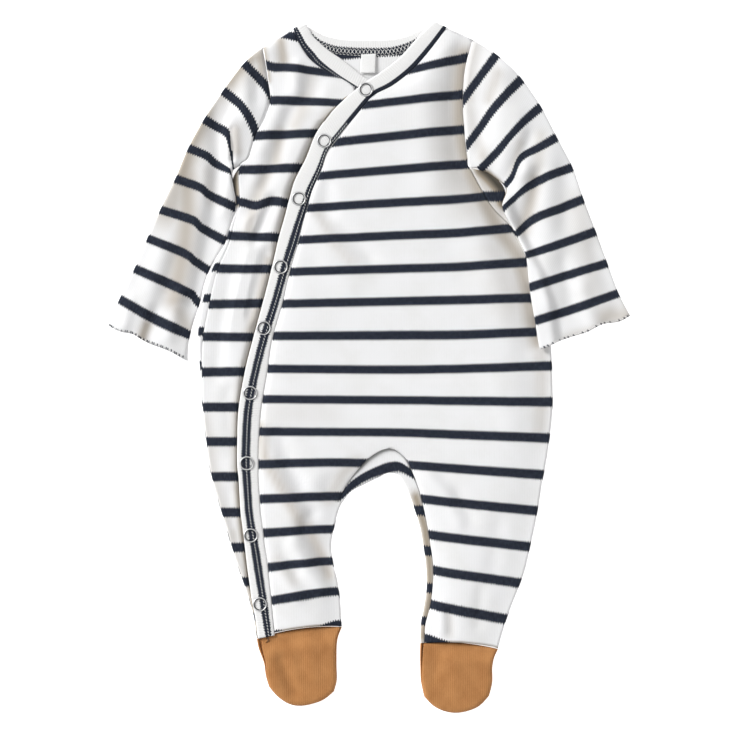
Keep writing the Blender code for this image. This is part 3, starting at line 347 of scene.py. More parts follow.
def knit_of(lines, along=(0.0, -1.0), bare=(), shaded_creases=()):
    """A function that reads the knit at some spots: for each, its wale, in millimetres across, its
    course, 1 for each stripe, how plain it is and how much shade is painted there.

    lines are the middles of the stripes in order, along is the way the wales run, bare is the
    outline of a part that no stripe reaches, because a fold takes it up, and shaded_creases are
    where shade is painted into the cream.
    """
    along = unit(np.array(along))
    across = np.array((-along[1], along[0]))
    levels = []
    for line in lines:
        smooth = np.array([through(line, place) for place in np.linspace(0, len(line) - 1, 6 * len(line))])
        before = smooth[0] + unit(smooth[0] - smooth[1]) * STRIPE_RUN
        after = smooth[-1] + unit(smooth[-1] - smooth[-2]) * STRIPE_RUN
        smooth = np.vstack((before, smooth, after))
        order = np.argsort(smooth @ across)
        levels.append(((smooth @ across)[order], (smooth @ along)[order]))

    def read(spots):
        wale, depth = spots[..., :2] @ across, spots[..., :2] @ along
        stripes = np.array([np.interp(wale, *level) for level in levels])
        gaps = np.maximum(np.diff(stripes, axis=0), LEAST_REPEAT)
        course = np.clip((depth - stripes[:-1]) / gaps, 0, 1).sum(0)
        course += np.minimum((depth - stripes[0]) / gaps[0], 0)
        course += np.maximum((depth - stripes[-1]) / gaps[-1], 0)
        plain = inside(bare, spots) + (course < PLAIN_ABOVE)
        return np.stack((wale, course, plain, painted_shade_at(spots, shaded_creases)), -1)

    return read


def stripe_lines(across, heights):
    return [list(zip(across, row)) for row in heights]


def lay(mesh, spots, knit, under=False):
    """Add one patch of cloth, rows down the garment and columns across it."""
    down, across = len(spots) - 1, len(spots[0]) - 1
    layer = mesh.verts.layers.float_vector.get("knit") or mesh.verts.layers.float_vector.new("knit")
    painted_shade = mesh.verts.layers.float.get("painted_shade") or mesh.verts.layers.float.new("painted_shade")
    grid = bmesh.ops.create_grid(mesh, x_segments=across, y_segments=down, size=1.0)["verts"]
    for vert in grid:
        row, column = round((1 - vert.co.y) / 2 * down), round((vert.co.x + 1) / 2 * across)
        vert.co = Vector(spots[row][column]) * MM
        vert[layer] = Vector(knit[row][column][:3])
        vert[painted_shade] = sum(knit[row][column][3:])
    if under:
        bmesh.ops.reverse_faces(mesh, faces=list({face for vert in grid for face in vert.link_faces}))


def linked(name, data):
    """A new object of this data, in the scene."""
    thing = bpy.data.objects.new(name, data)
    bpy.context.scene.collection.objects.link(thing)
    return thing


def piece_of(name, mesh, material):
    """Make a piece that rides on the garment's one body."""
    data = bpy.data.meshes.new(name)
    mesh.to_mesh(data)
    mesh.free()
    data.shade_smooth()
    data.materials.append(material)
    piece = linked(name, data)
    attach(piece, "root")
    return piece


def sew(name, mesh, wall, material, node):
    """Make a piece of the patches; Solidify gives the cloth its thickness, inwards."""
    bmesh.ops.remove_doubles(mesh, verts=mesh.verts, dist=1e-6)
    piece = piece_of(name, mesh, material)
    if wall:
        thickness = piece.modifiers.new("cloth", "SOLIDIFY")
        thickness.thickness = wall * MM
        thickness.offset = -1.0
    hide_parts(node)
    return piece


class Strand:
    """A socket of a material's nodes; sums on it add Math nodes."""

    def __init__(self, tree, socket=None):
        self.tree = tree
        self.socket = socket

    def node(self, kind, settings, values, output=0):
        """Add a node: its settings first, then a number or a link for each socket."""
        node = self.tree.nodes.new(kind)
        for name, value in settings.items():
            setattr(node, name, value)
        for name, value in values.items():
            if isinstance(value, Strand):
                self.tree.links.new(value.socket, node.inputs[name])
            else:
                node.inputs[name].default_value = value
        return Strand(self.tree, node.outputs[output])

    def sum_of(self, operation, *terms):
        return self.node("ShaderNodeMath", {"operation": operation}, dict(enumerate(terms)))

    def __add__(self, other):
        return self.sum_of("ADD", self, other)

    def __sub__(self, other):
        return self.sum_of("SUBTRACT", self, other)

    def __rsub__(self, other):
        return self.sum_of("SUBTRACT", other, self)

    def __mul__(self, other):
        return self.sum_of("MULTIPLY", self, other)

    def smooth(self, low, high):
        """0 below low, 1 above high, and a soft step between them."""
        return self.node("ShaderNodeMapRange", {"interpolation_type": "SMOOTHSTEP"},
                         {"Value": self, "From Min": low, "From Max": high})

    def dye(self, first, second):
        """Mix two colours by this value."""
        return self.node("ShaderNodeMix", {"data_type": "RGBA"}, {0: self, 6: first, 7: second}, 2)


def material_of(name, roughness, metallic=0.0, sheen=0.0):
    """A new material, its shader's constants set, and a strand to build its nodes from."""
    material = bpy.data.materials.new(name)
    material.use_nodes = True
    shader = material.node_tree.nodes["Principled BSDF"]
    shader.inputs["Roughness"].default_value = roughness
    shader.inputs["Metallic"].default_value = metallic
    shader.inputs["Specular IOR Level"].default_value = 0.25 if metallic == 0 else 0.5
    shader.inputs["Sheen Weight"].default_value = sheen
    shader.inputs["Sheen Roughness"].default_value = 0.5
    return material, shader, Strand(material.node_tree)


def join(strand, shader, colour, height, depth, strength=1.0):
    """Feed the shader its colour and, through a Bump node, its relief in millimetres."""
    strand.tree.links.new(colour.socket, shader.inputs["Base Color"])
    bump = strand.node("ShaderNodeBump", {}, {"Height": height, "Distance": depth * MM, "Strength": strength})
    strand.tree.links.new(bump.socket, shader.inputs["Normal"])


def knitted(strand):
    """The three values that the mesh carries at each spot: wale, course and one that cloths use freely."""
    knit = strand.node("ShaderNodeAttribute", {"attribute_name": "knit"}, {}, 1)
    parts = strand.node("ShaderNodeSeparateXYZ", {}, {0: knit})
    return [Strand(strand.tree, output) for output in parts.socket.node.outputs]


def grain_of(wale, course, across, along):
    """Noise on the cloth itself, stretched along the wales: cycles per wale unit and per course."""
    spot = wale.node("ShaderNodeCombineXYZ", {}, {0: wale * across, 1: course * along})
    return wale.node("ShaderNodeTexNoise", {}, {"Vector": spot, "Scale": 1.0, "Detail": 2.0})


def striped_rib():
    material, shader, strand = material_of("striped_rib_knit", 0.95, sheen=0.04)
    wale, course, bare = knitted(strand)
    ribs = strand.sum_of("COSINE", wale * (2 * math.pi / WALE))
    teeth = strand.sum_of("COSINE", wale * (2 * math.pi / TOOTH)) * 0.026
    teeth = teeth + (grain_of(wale, course, 1.0 / WALE, 3.0) - 0.5) * 0.042
    away = strand.sum_of("PINGPONG", course, 0.5) + teeth + bare.smooth(0.45, 0.55)
    navy = 1 - away.smooth(STRIPE_SHARE - STRIPE_BLUR, STRIPE_SHARE + STRIPE_BLUR)
    streaks = grain_of(wale, course, 0.75, 9.0)
    patches = grain_of(wale, course, 0.04, 0.9)
    white = (streaks * 0.25 + patches * 0.75).smooth(0.28, 0.62).dye(CREAM_DEEP, CREAM)
    # Painted shade down between the ribs of the cream.
    groove_shaded = strand.node("ShaderNodeMix", {"data_type": "RGBA", "blend_type": "MULTIPLY"},
                         {0: 1.0, 6: white, 7: RIB_GROOVE_SHADE}, 2)
    white = (ribs * 0.5 + 0.5).smooth(0.0, 0.55).dye(groove_shaded, white)
    # Painted shade in the creases, and painted shadow at the bottom of the tucks, mixed into the cream.
    painted_shade = strand.node("ShaderNodeAttribute", {"attribute_name": "painted_shade"}, {}, 2)
    white = (painted_shade - 1).dye(painted_shade.dye(white, CREAM_PAINTED_SHADE), CREAM_PAINTED_SHADOW)
    # Random worn streaks in the navy, with a painted highlight along the ribs' crowns.
    blue = (streaks + ribs * 0.06).smooth(0.36, 0.74).dye(NAVY, NAVY_WORN_AND_RIB_LIT)
    loops = strand.sum_of("SINE", course * (2 * math.pi * COURSES))
    relief = ribs * 0.5 + loops * 0.14 + grain_of(wale, course, 2.4, 60.0) * 0.5
    join(strand, shader, navy.dye(white, blue), relief, 0.09, 0.5)
    return material


STRIPED = striped_rib()

# The lapped band's two edges, needed here for the direction of the trunk's sections.  "strip" is
# where its navy line lies across it, "half" the half-width of that line.
Band = namedtuple("Band", "lap_x lap_y main_x main_y height strip half")
OVER_BAND = [
    Band(50, 266.37, 60, 261.8, 1.6, 0.88, 1.8),
    Band(37.5, 254, 47.5, 245, 2.4, 0.88, 1.8),
    Band(24, 239, 34, 229.5, 3.2, 0.88, 1.8),
    Band(9, 227, 18.5, 217, 4, 0.88, 1.8),
    Band(-4, 218.5, 3, 208.5, 4.6, 0.89, 1.7),
    Band(-18.5, 206.5, -10, 193.5, 4.6, 0.89, 1.7),
    Band(-30, 195, -21, 179.5, 4.6, 0.88, 1.8),
    Band(-41, 179.5, -31.5, 165.5, 4.6, 0.87, 1.9),
    Band(-48, 162, -36, 153, 4.6, 0.86, 2),
    Band(-52.5, 153, -39.5, 145.5, 4.6, 0.87, 2),
    Band(-57.5, 143, -44, 135, 4.6, 0.86, 2.3),
    Band(-61, 131, -47.5, 123, 4.6, 0.84, 2.7),
    Band(-65, 115.5, -51, 110, 4.6, 0.79, 3),
    Band(-69.5, 99.5, -55, 94, 4.6, 0.75, 3.5),
    Band(-74.5, 78, -61, 73, 4.6, 0.69, 3.2),
    Band(-81, 52.5, -67, 47.5, 4.6, 0.62, 3.1),
    Band(-89, 23, -74.5, 21, 4.6, 0.56, 3.3),
    Band(-95.5, -3, -78.5, -5.5, 4.6, 0.47, 3.2),
    Band(-100.5, -33, -83, -33, 4.6, 0.43, 3.4),
    Band(-101.5, -61, -85, -61, 4.6, 0.42, 3.5),
    Band(-101.5, -76, -85, -76, 4.6, 0.41, 3.5),
    Band(-100.5, -84.5, -85, -84.5, 4.6, 0.41, 3.4),
    Band(-100, -93, -84.5, -93, 4.6, 0.41, 3.3),
    Band(-99.5, -101.5, -84, -101.5, 4.6, 0.415, 3.2),
    Band(-99, -110.5, -83.5, -110, 4.6, 0.42, 3.2),
    Band(-97.5, -122.5, -82, -121.5, 4.6, 0.43, 3.2),
    Band(-95.5, -139, -80, -138, 4.6, 0.49, 3.3),
    Band(-94, -152, -78, -151, 4.6, 0.51, 3.4),
    Band(-92, -166.5, -76.5, -165.5, 4.6, 0.54, 3.2),
    Band(-90, -181, -75, -180, 4.6, 0.58, 3),
    Band(-87.5, -193.5, -74, -192.5, 4.6, 0.60, 2.9),
    Band(-85.5, -209, -72.5, -206.5, 4.6, 0.64, 2.5),
]
BAND_LAP = columns(OVER_BAND, 0)
BAND_MAIN = columns(OVER_BAND, 2)
UNDERARM_HOLLOWS = [
    Fold(-2.7, 5, [(90, 152), (98, 147.5), (106, 139)]),
    Fold(-1.7, 4, [(-102, 156), (-105.5, 148), (-105, 134), (-103, 122)]),
]
SHOULDERS = [[(-100, 239), (-81.5, 247), (-58.5, 261)],
             [(60, 262), (80, 252.5), (100, 240)]]
SHOULDER_FALL = 7.0       # below the shoulder lines, where both layers draw together


def edge_top(spots):
    return LAID_HEIGHT + swell(spots, UNDERARM_HOLLOWS)


def shoulder_share(spots):
    """0 on the shoulder line and 1 below it, as the round of a fold."""
    away = np.minimum(*(away_from(line, spots) for line in SHOULDERS))
    return np.sqrt(1 - (1 - np.clip(away / SHOULDER_FALL, 0, 1)) ** 2)


def back_strip(stations, knit):
    """The back's outer edge, from the table round to its seam on the front."""
    rows = []
    for edge, into, wrap, place, side in stations:
        end = max(travel_of(wrap) - SEAM_GAP, LEAST_STRIP)
        bend = np.linspace(-TURN, min(TURN, 0.8 * end), 9)
        travels = np.append(bend, np.linspace(bend[-1], end, 7)[1:])
        row = rolled(edge, into, travels, edge_top)
        row[:, 2] -= SEAM_DIP * bell(end - travels, DIP_WIDTH)
        rows.append(bow(row, place, side))
    return np.array(rows), knit(np.array(rows))


def floor_row(start, end, shares):
    spots = start + (end - start) * np.array(shares)[:, None]
    return np.column_stack((spots, np.zeros(len(spots))))


def finer(shares, times):
    """The same shares with more columns between each two."""
    last = len(shares) - 1
    return np.interp(np.linspace(0, last, last * times + 1), range(last + 1), shares)


def make_back():
    mesh = bmesh.new()
    knit = knit_of(stripe_lines(BACK_ACROSS, BACK_STRIPES))
    side_knit = knit_of(stripe_lines(BACK_ACROSS, BACK_STRIPES), shaded_creases=SIDE_PAINTED_SHADE)
    inner_knit = knit_of(CROTCH_STRIPES, shaded_creases=SIDE_PAINTED_SHADE)
    top = [RIGHT_EDGE[0], *BACK_NECK_EDGE, LEFT_EDGE[0]]
    width = top[-1][0] - top[0][0]
    top_shares = finer([(spot[0] - top[0][0]) / width for spot in top], BACK_FINER)
    outline = np.array([through(top, place) for place in np.linspace(0, len(top) - 1, len(top_shares))])
    low_shares = finer(BACK_SHARES, BACK_FINER)
    middle = BACK_MIDDLE * BACK_FINER
    crotch = np.array((RIGHT_LEG[0].inner_x, RIGHT_LEG[0].inner_y + ROLL))
    rows = []
    for place in TRUNK_PLACES:
        start, end = side_at("right", place), side_at("left", place)
        if place >= UNDERARM:
            start = start + side_into("right", place) * ROLL
            end = end + side_into("left", place) * ROLL
        ripe = place / CROTCH
        row = floor_row(start, end, top_shares * (1 - ripe) + low_shares * ripe)
        straight = top[0] + (top[-1] - top[0]) * top_shares[:, None]
        row[:, :2] += (outline - straight) * max(0.0, 1 - place / NECK_FADE) ** 2
        arch = max(0.0, 1 - (CROTCH - place) / BACK_ARCH_ROWS) ** 2
        lean = 1 - np.abs(np.linspace(-1, 1, len(row)))
        row[:, :2] += (crotch - row[middle, :2]) * arch * lean[:, None] ** 3
        row[:, 2] = SHOULDER_BACK * (1 - shoulder_share(row))
        rows.append(row)
    rows = np.array(rows)
    rows[..., 2] += swell(rows, BACK_FOLDS)
    lay(mesh, rows, knit(rows), under=True)
    for side in ("right", "left"):
        leg = [rows[-1][:middle + 1] if side == "right" else rows[-1][middle:]]
        for place in LEG_PLACES[1:]:
            inner, into, gap = leg_seam(side, place)
            outer = side_at(side, CROTCH + place) + side_into(side, CROTCH + place) * ROLL
            ends = (outer, inner + into * ROLL) if side == "right" else (inner + into * ROLL, outer)
            row = bow(floor_row(*ends, np.linspace(0, 1, len(leg[0]))), place, side)
            row[:, 2] += swell(row, BACK_FOLDS)
            leg.append(row)
        lay(mesh, np.array(leg), knit(np.array(leg)), under=True)
    sides = [place for place in TRUNK_PLACES if place >= UNDERARM] + list(CROTCH + LEG_PLACES[1:])
    for side in ("right", "left"):
        stations = [(side_at(side, place), side_into(side, place), side_wrap(side, place),
                     place - CROTCH, side) for place in sides]
        lay(mesh, *back_strip(stations, side_knit), under=side == "left")
    inner_side = [(*leg_seam("right", place), place, "right") for place in LEG_PLACES[::-1]]
    inner_side += [(*leg_seam("left", place), place, "left") for place in LEG_PLACES[1:]]
    lay(mesh, *back_strip(inner_side, inner_knit))
    return sew("back_panel", mesh, CLOTH * SHELL_SHARE, STRIPED, "back_body")


back = make_back()

# ---------------------------------------------------------------------------- main front
# The main front crosses from the left shoulder over the chest to the right leg.  It is cut from
# the same striped rib, is sewn to the lapped band, and ends at the left side seam, the arch of
# the crotch and the foot seams.

FULLNESS = 3.0            # the laid body is this much thicker inside its edges
FULL_REACH = 20.0         # and fills out over this width
INNER_SHARE = 1.5         # or this many times faster beside the inner legs
BAND_CLOTH = 1.2          # a folded band
BAND_SLOPE = 9.0          # width over which the front rises to the band
GROOVE = 0.55             # a seam lies this deep between two pieces
ARMHOLE_WIDTH = 1.3       # width of the groove at an armhole
BAND_WIDTH = 0.9          # and at the lapped band
LEG_DIP = 0.4             # a front dips this much at an inner leg's seam
LEG_DIP_WIDTH = 1.2
FRONT_MIDDLE = 0.47       # share of the section that ends at the top of the crotch arch
ARCH_ROWS = 4             # sections over which the arch forms
FLAT_COLUMNS = 20         # columns of the mesh over the flat cloth
SIDE_COLUMNS = 8          # and beside a seam
HALF_COLUMNS = FLAT_COLUMNS + SIDE_COLUMNS - 1
SIDE_REACH = 3.0          # those beside a seam on a rounded edge lie within this
ARMHOLE_REACH = 5.0       # within this at an armhole
FINE_REACH = 4.0          # and within this at the arch and the inner legs
FOLDS = [
    Fold(2, 11, [(-123, 160), (-134, 62)]),
    Fold(1.6, 7, [(-112, 176), (-104, 150)]),
    Fold(1.2, 8, [(-86, 152), (-92, 108)]),
    Fold(-1, 9, [(-36, 140), (-44, 80)]),
    Fold(1.8, 8, [(114, 195), (118, 150)]),
    Fold(1.5, 10, [(128, 120), (144, 92)]),
    Fold(-1.2, 8, [(92, 214), (84, 178)]),
    Fold(-1.2, 5, [(90, 148), (99, 134)]),
    Fold(-0.5, 8, [(-44, -124), (-34, -150)]),
    Fold(1, 7, [(60, -92), (40, -82)]),
]
MAIN_FOLDS = [
    Fold(-3.4, 12, [(76, 246), (72, 222), (71, 198), (74, 168), (84, 146)]),
    Fold(-1.8, 18, [(92, 142), (104, 122), (116, 92), (132, 62), (142, 30)]),
    Fold(1.2, 12, [(44, 214), (42, 176), (50, 140)]),
    Fold(1, 10, [(84, 104), (96, 70), (104, 40)]),
    Fold(1.9, 5.5, [(-50, 118), (-28, 99), (-5, 75)]),
    Fold(-1.5, 6, [(-42, 126), (-20, 107), (2, 84)]),
    Fold(-1.4, 6, [(-34, 140), (-30, 122)]),
    Fold(1, 7, [(-40, 92), (-22, 72), (-14, 60)]),
    Fold(-0.9, 9, [(60, 92), (74, 74)]),
    Fold(-1.2, 9, [(120, 14), (128, -22)]),
    Fold(0.8, 9, [(98, -18), (110, -44)]),
    Fold(2.6, 7, [(-84, -50), (-74, -78), (-64, -95), (-55, -112)]),
    Fold(-2.2, 6.5, [(-70, -52), (-61, -78), (-50, -98), (-44, -112)]),
    Fold(2.4, 6, [(-58, -136), (-47, -156), (-36, -171)]),
    Fold(-2.2, 5, [(-50, -126), (-40, -142), (-31, -156)]),
    Fold(-1, 5, [(-30, -86), (-34, -100)]),
    Fold(0.8, 6, [(-44, -88), (-48, -104)]),
    Fold(1.8, 5, [(-76, -146), (-62, -166), (-54, -178)]),
    Fold(-1.3, 4.5, [(-68, -140), (-55, -158)]),
    Fold(1.2, 5, [(46, -84), (59, -98), (70, -120)]),
    Fold(-1.1, 5, [(55, -80), (67, -94), (78, -116)]),
    Fold(-1.3, 4, [(62, -188), (63, -206)]),
    Fold(1, 4.5, [(56, -186), (56, -204)]),
    Fold(-1, 5, [(86, -172), (84, -200)]),
    Fold(-1, 7, [(100, -120), (94, -160)]),
]
# Painted shadow along the foot seams, mixed into the cream with the creases' painted shade.
FOOT_SEAM_SHADOWS = [
    Fold(1.3, 1.5, [(-86, -209.3), (-74, -205), (-60, -202.3), (-42, -200.1), (-21, -200.3)]),
    Fold(1.3, 1.5, [(39.5, -213), (50, -212.3), (70, -212.8), (88, -215.2), (99.5, -217.5)]),
]
# Painted shade on the main front, laid along its creases and troughs.
MAIN_PAINTED_SHADE = FOOT_SEAM_SHADOWS + [
    Fold(0.8, 8, [(73, 240), (70, 215), (70, 190), (73, 168), (79, 148), (89, 127), (100, 106)]),
    Fold(0.32, 19, [(70, 200), (66, 176), (72, 150), (84, 126)]),
    Fold(0.75, 7.5, [(100, 106), (115, 86), (121, 62), (125, 38), (130, 20)]),
    Fold(0.22, 16, [(100, 90), (108, 50)]),
    Fold(0.35, 6, [(132, 14), (133, -24), (131, -52)]),
    Fold(0.28, 4.5, [(-40, 120), (-29, 98), (-14, 80)]),
    Fold(0.12, 12, [(-72, -34), (-30, -38)]),
    Fold(0.65, 4.5, [(-84, -46), (-81, -70)]),
    Fold(0.55, 5, [(-78, -74), (-66, -96), (-56, -114), (-50, -126)]),
    Fold(0.60, 5, [(-47, -124), (-36, -146), (-31, -160)]),
    Fold(0.35, 5, [(-31, -102), (-22, -84), (-10, -72)]),
    Fold(0.25, 4, [(62, -188), (63, -206)]),
    Fold(0.25, 5, [(-71, -148), (-58, -164)]),
]
RIM = [(60, 268)] + LEFT_EDGE + columns(LEFT_LEG, 4)[1:]

# Middles of the navy stripes on the main front, as heights at six places across.
MAIN_ACROSS = (-82.5, -30, 24, 70, 108.5, 139.5)
MAIN_STRIPES = [
    (209.5, 217.5, 227, 237.3, 244, 248), (193, 199, 204.8, 209.8, 213.5, 216.5),
    (167, 172.3, 177.9, 182.8, 186.5, 189.5), (143, 147.6, 152, 155.8, 158.6, 161),
    (120, 123.4, 126.5, 129.2, 134, 136.5), (96.5, 98.8, 101.2, 103.2, 107, 110),
    (72.5, 74.1, 75.6, 77, 79.8, 82.2), (48.2, 49.4, 50.6, 51.6, 52.7, 53.6),
    (23.9, 24.1, 24.4, 24.6, 26.2, 27.4), (-1.5, -2, -2.3, -1.5, -0.2, 1),
    (-24.6, -25, -25.4, -26, -26.5, -27), (-49.7, -50.1, -50.5, -52.1, -53.5, -54.7),
    (-74.7, -73.2, -75, -78.4, -81.2, -83.5), (-101.6, -99.7, -100.1, -104.7, -108.6, -111.8),
    (-127.8, -124.9, -127.1, -132.2, -136.7, -140.3), (-154.8, -149.7, -153.2, -159.7, -165.3, -169.9),
    (-181.3, -172.6, -178.6, -187.3, -194.7, -200.2),
]
# The last stripe slips under the feet, and shows only at the ends of their seams.
ANKLE_STRIPE = [(-82.5, -206.5), (-70, -206), (-58, -208), (-46, -207), (-33, -201),
                (-21, -198.5), (10, -201), (42, -208.5), (58, -214), (74, -220.5),
                (90, -223), (110, -226)]


def folded(spots, full, folds):
    """Height of two laid layers that are this much fuller than at an edge, with their folds; a
    trough levels out softly just above the least height."""
    height = LAID_HEIGHT + full + swell(spots, FOLDS) + swell(spots, folds)
    return LEAST_HEIGHT + SOFTNESS * np.logaddexp(0.0, (height - LEAST_HEIGHT) / SOFTNESS)


def body_top(spots):
    """Height of the main front, without the lapped band's lift."""
    rim = np.minimum(away_from(RIM, spots), away_from(ARCH_INNER, spots) * INNER_SHARE)
    return folded(spots, FULLNESS * (1 - bell(rim, FULL_REACH)), MAIN_FOLDS)


def raised(spots, top):
    return np.column_stack((spots, top(spots)))


def straight(start, end, count):
    """Spots at even steps from one place to another."""
    return start + (end - start) * np.linspace(0, 1, count)[:, None]


def fine_end(start, end):
    """Spots between two places, the last few of them close together."""
    near = end + unit(start - end) * FINE_REACH
    return np.vstack((straight(start, near, FLAT_COLUMNS), straight(near, end, SIDE_COLUMNS)[1:]))


def rounded_side(edge, into, wrap, top, dip=SEAM_DIP):
    """A front's last spots, out to a seam that lies on a rounded outer edge."""
    last = travel_of(wrap) + SEAM_GAP
    travels = np.linspace(max(TURN + PAST_TURN, last + SIDE_REACH), last, SIDE_COLUMNS)
    spots = rolled(edge, into, travels, top)
    spots[:, 2] -= dip * bell(travels - last, DIP_WIDTH)
    return spots


def armhole_side(edge, into, top):
    """A front's last spots, out to an armhole seam."""
    reach = np.linspace(ARMHOLE_REACH, SEAM_GAP, SIDE_COLUMNS)
    spots = raised(edge + into * reach[:, None], top)
    spots[:, 2] -= GROOVE * bell(reach, ARMHOLE_WIDTH)
    return spots


def with_side(flat_ends, side):
    """A section of the main front: its flat columns, and the last ones down to the outer edge."""
    spots = straight(flat_ends[-1], side[0, :2], HALF_COLUMNS)
    if len(flat_ends) > 1:
        spots = np.vstack((fine_end(*flat_ends), spots[1:]))
    return np.vstack((raised(spots, body_top), side[1:]))


def lift_to_band(row, place):
    """Bring a section's first columns to the height of the lapped band, with the seam's groove."""
    away = np.linalg.norm(row[:, :2] - row[0, :2], axis=1)
    top = through(OVER_BAND, place)[4] + BAND_CLOTH
    row[:, 2] += (top - row[:, 2]) * bell(away, BAND_SLOPE)
    row[:, 2] -= GROOVE * bell(away, BAND_WIDTH)
    return row


def make_main_front():
    mesh = bmesh.new()
    knit = knit_of(stripe_lines(MAIN_ACROSS, MAIN_STRIPES) + [ANKLE_STRIPE], shaded_creases=MAIN_PAINTED_SHADE)
    peak = np.array((RIGHT_LEG[0].seam_x, RIGHT_LEG[0].seam_y + SEAM_GAP))
    lowest = through(BAND_MAIN, CROTCH)
    arch = peak - (lowest + (LEFT_EDGE[CROTCH] - lowest) * FRONT_MIDDLE)
    trunk = []
    for place in TRUNK_PLACES:
        start, edge = through(BAND_MAIN, place), side_at("left", place)
        across = unit(edge - start)
        start = start + across * SEAM_GAP
        if place > UNDERARM:
            side = rounded_side(edge, side_into("left", place), side_wrap("left", place), body_top)
        else:
            side = armhole_side(edge, -across, body_top)
        ripe = max(0.0, 1 - (CROTCH - place) / ARCH_ROWS)
        middle = start + (edge - start) * FRONT_MIDDLE + arch * ripe ** 1.5
        if place == CROTCH:
            middle = peak
        row = lift_to_band(with_side([start, middle], side), place)
        row[:, 2] = 1.0 + (row[:, 2] - 1.0) * shoulder_share(row)
        trunk.append(row)
    trunk = np.array(trunk)
    lay(mesh, trunk, knit(trunk))
    legs = {"right": [trunk[-1][:HALF_COLUMNS]], "left": [trunk[-1][HALF_COLUMNS - 1:]]}
    for place in LEG_PLACES[1:]:
        start = through(BAND_MAIN, CROTCH + place)
        inner, into, gap = leg_seam("right", place)
        start = start + unit(inner + into * gap - start) * SEAM_GAP
        if gap > ROLL:
            side = raised(fine_end(start, inner + into * (gap + SEAM_GAP))[FLAT_COLUMNS - 1:], body_top)
            side[:, 2] -= LEG_DIP * bell(np.linspace(FINE_REACH, 0.0, SIDE_COLUMNS), LEG_DIP_WIDTH)
        else:
            side = rounded_side(inner, into, gap, body_top, 0.0)
        flat = raised(straight(start, side[0, :2], FLAT_COLUMNS), body_top)
        row = lift_to_band(np.vstack((flat, side[1:])), CROTCH + place)
        legs["right"].append(bow(row, place, "right"))
        inner, into, gap = leg_seam("left", place)
        edge, out = side_at("left", CROTCH + place), side_into("left", CROTCH + place)
        row = with_side([inner + into * (gap + SEAM_GAP)], rounded_side(edge, out, NARROW_WRAP, body_top))
        away = np.linalg.norm(row[:, :2] - row[0, :2], axis=1)
        row[:, 2] -= LEG_DIP * bell(away, LEG_DIP_WIDTH)
        legs["left"].append(bow(row, place, "left"))
    for leg in legs.values():
        lay(mesh, np.array(leg), knit(np.array(leg)))
    return sew("main_front", mesh, CLOTH * SHELL_SHARE, STRIPED, "front_left")


main_front = make_main_front()

# ---------------------------------------------------------------------------- under front
# The under front covers the right shoulder and side and runs down the right leg.  Its free edge
# reaches a little way under the lapped band, and the neck band is sewn to its top.

UNDER_LAP = 2.0           # the under front runs this far under the band
LAP_ROW = 4.5             # row at which it starts to run under the band
LAP_TOP = 4.5             # it stays under this height where it ends
LAP_RISE = 2.2            # and under this much more away from it
LAP_DIP = 1.9             # it dips this much to go under the band
DIP_REACH = 4.0           # over this width
LAP_TUCK = 0.5            # a small groove runs beside the band's edge
TUCK_PLACE = 2.4          # this far from where the under front ends
TUCK_WIDTH = 1.2
NECK_WIDTH = 1.1          # width of the groove at the neck band
UNDER_COLUMNS = 40
UNDER_FOLDS = [
    Fold(-2.4, 6, [(-58, 200), (-72, 162), (-84, 136), (-90, 122)]),
    Fold(1.6, 6, [(-70, 200), (-84, 166)]),
    Fold(-2, 4.5, [(-74, 128), (-82, 110), (-88, 96)]),
    Fold(1.6, 5, [(-82, 132), (-92, 108)]),
    Fold(-2, 5, [(-46, 222), (-50, 204)]),
    Fold(-1.6, 5, [(-38, 222), (-43, 206)]),
    Fold(1.4, 5, [(-54, 232), (-58, 212)]),
    Fold(-2.2, 6.5, [(-69, 250), (-65, 236)]),
    Fold(-1.6, 5, [(-78, 88), (-86, 64), (-92, 40)]),
    Fold(1.2, 6, [(-90, 92), (-98, 58), (-104, 24)]),
    Fold(-1.2, 6, [(-106, 70), (-114, 30), (-117, -6)]),
    Fold(-1.2, 6, [(-108, -20), (-106, -66)]),
    Fold(-1, 5, [(-107, -96), (-102, -136)]),
]
# Painted shade on the under front, along its creases and beside the band's edge.
UNDER_PAINTED_SHADE = [
    Fold(0.40, 6, [(-48, 206), (-57, 186)]),
    Fold(0.50, 5, [(-68, 180), (-72, 158)]),
    Fold(0.45, 5, [(-78, 150), (-88, 126), (-93, 104)]),
    Fold(0.60, 4.5, [(-77, 82), (-84, 52), (-92, 24)]),
    Fold(0.70, 4.5, [(-68, 252), (-66, 236)]),
    Fold(0.75, 2.6, [(-81.5, 248), (-79.5, 235), (-77.5, 221)]),
    Fold(0.25, 5, [(-44, 226), (-46, 210)]),
    Fold(0.60, 4.5, BAND_LAP[6:]),
    Fold(1.35, 1.1, BAND_LAP[5:]),
    Fold(0.35, 5, [(-105, -128), (-102, -150), (-97, -172)]),
    Fold(0.50, 2.6, [(-96.5, 4), (-101.5, -33), (-102.5, -61), (-101.5, -92)]),
    Fold(0.75, 3.2, [(-101.5, -92), (-98.5, -124), (-94.5, -152), (-90.5, -180), (-86, -206)]),
    Fold(0.30, 6, [(-127, -40), (-119, -92), (-106, -140)]),
]
UNDER_RIM = RIGHT_EDGE + columns(RIGHT_LEG, 0)[1:]
NECK_RIM = [(-58.5, 261), (-51.5, 245.5), (-39.5, 232), (-25, 223), (-10.5, 214)]

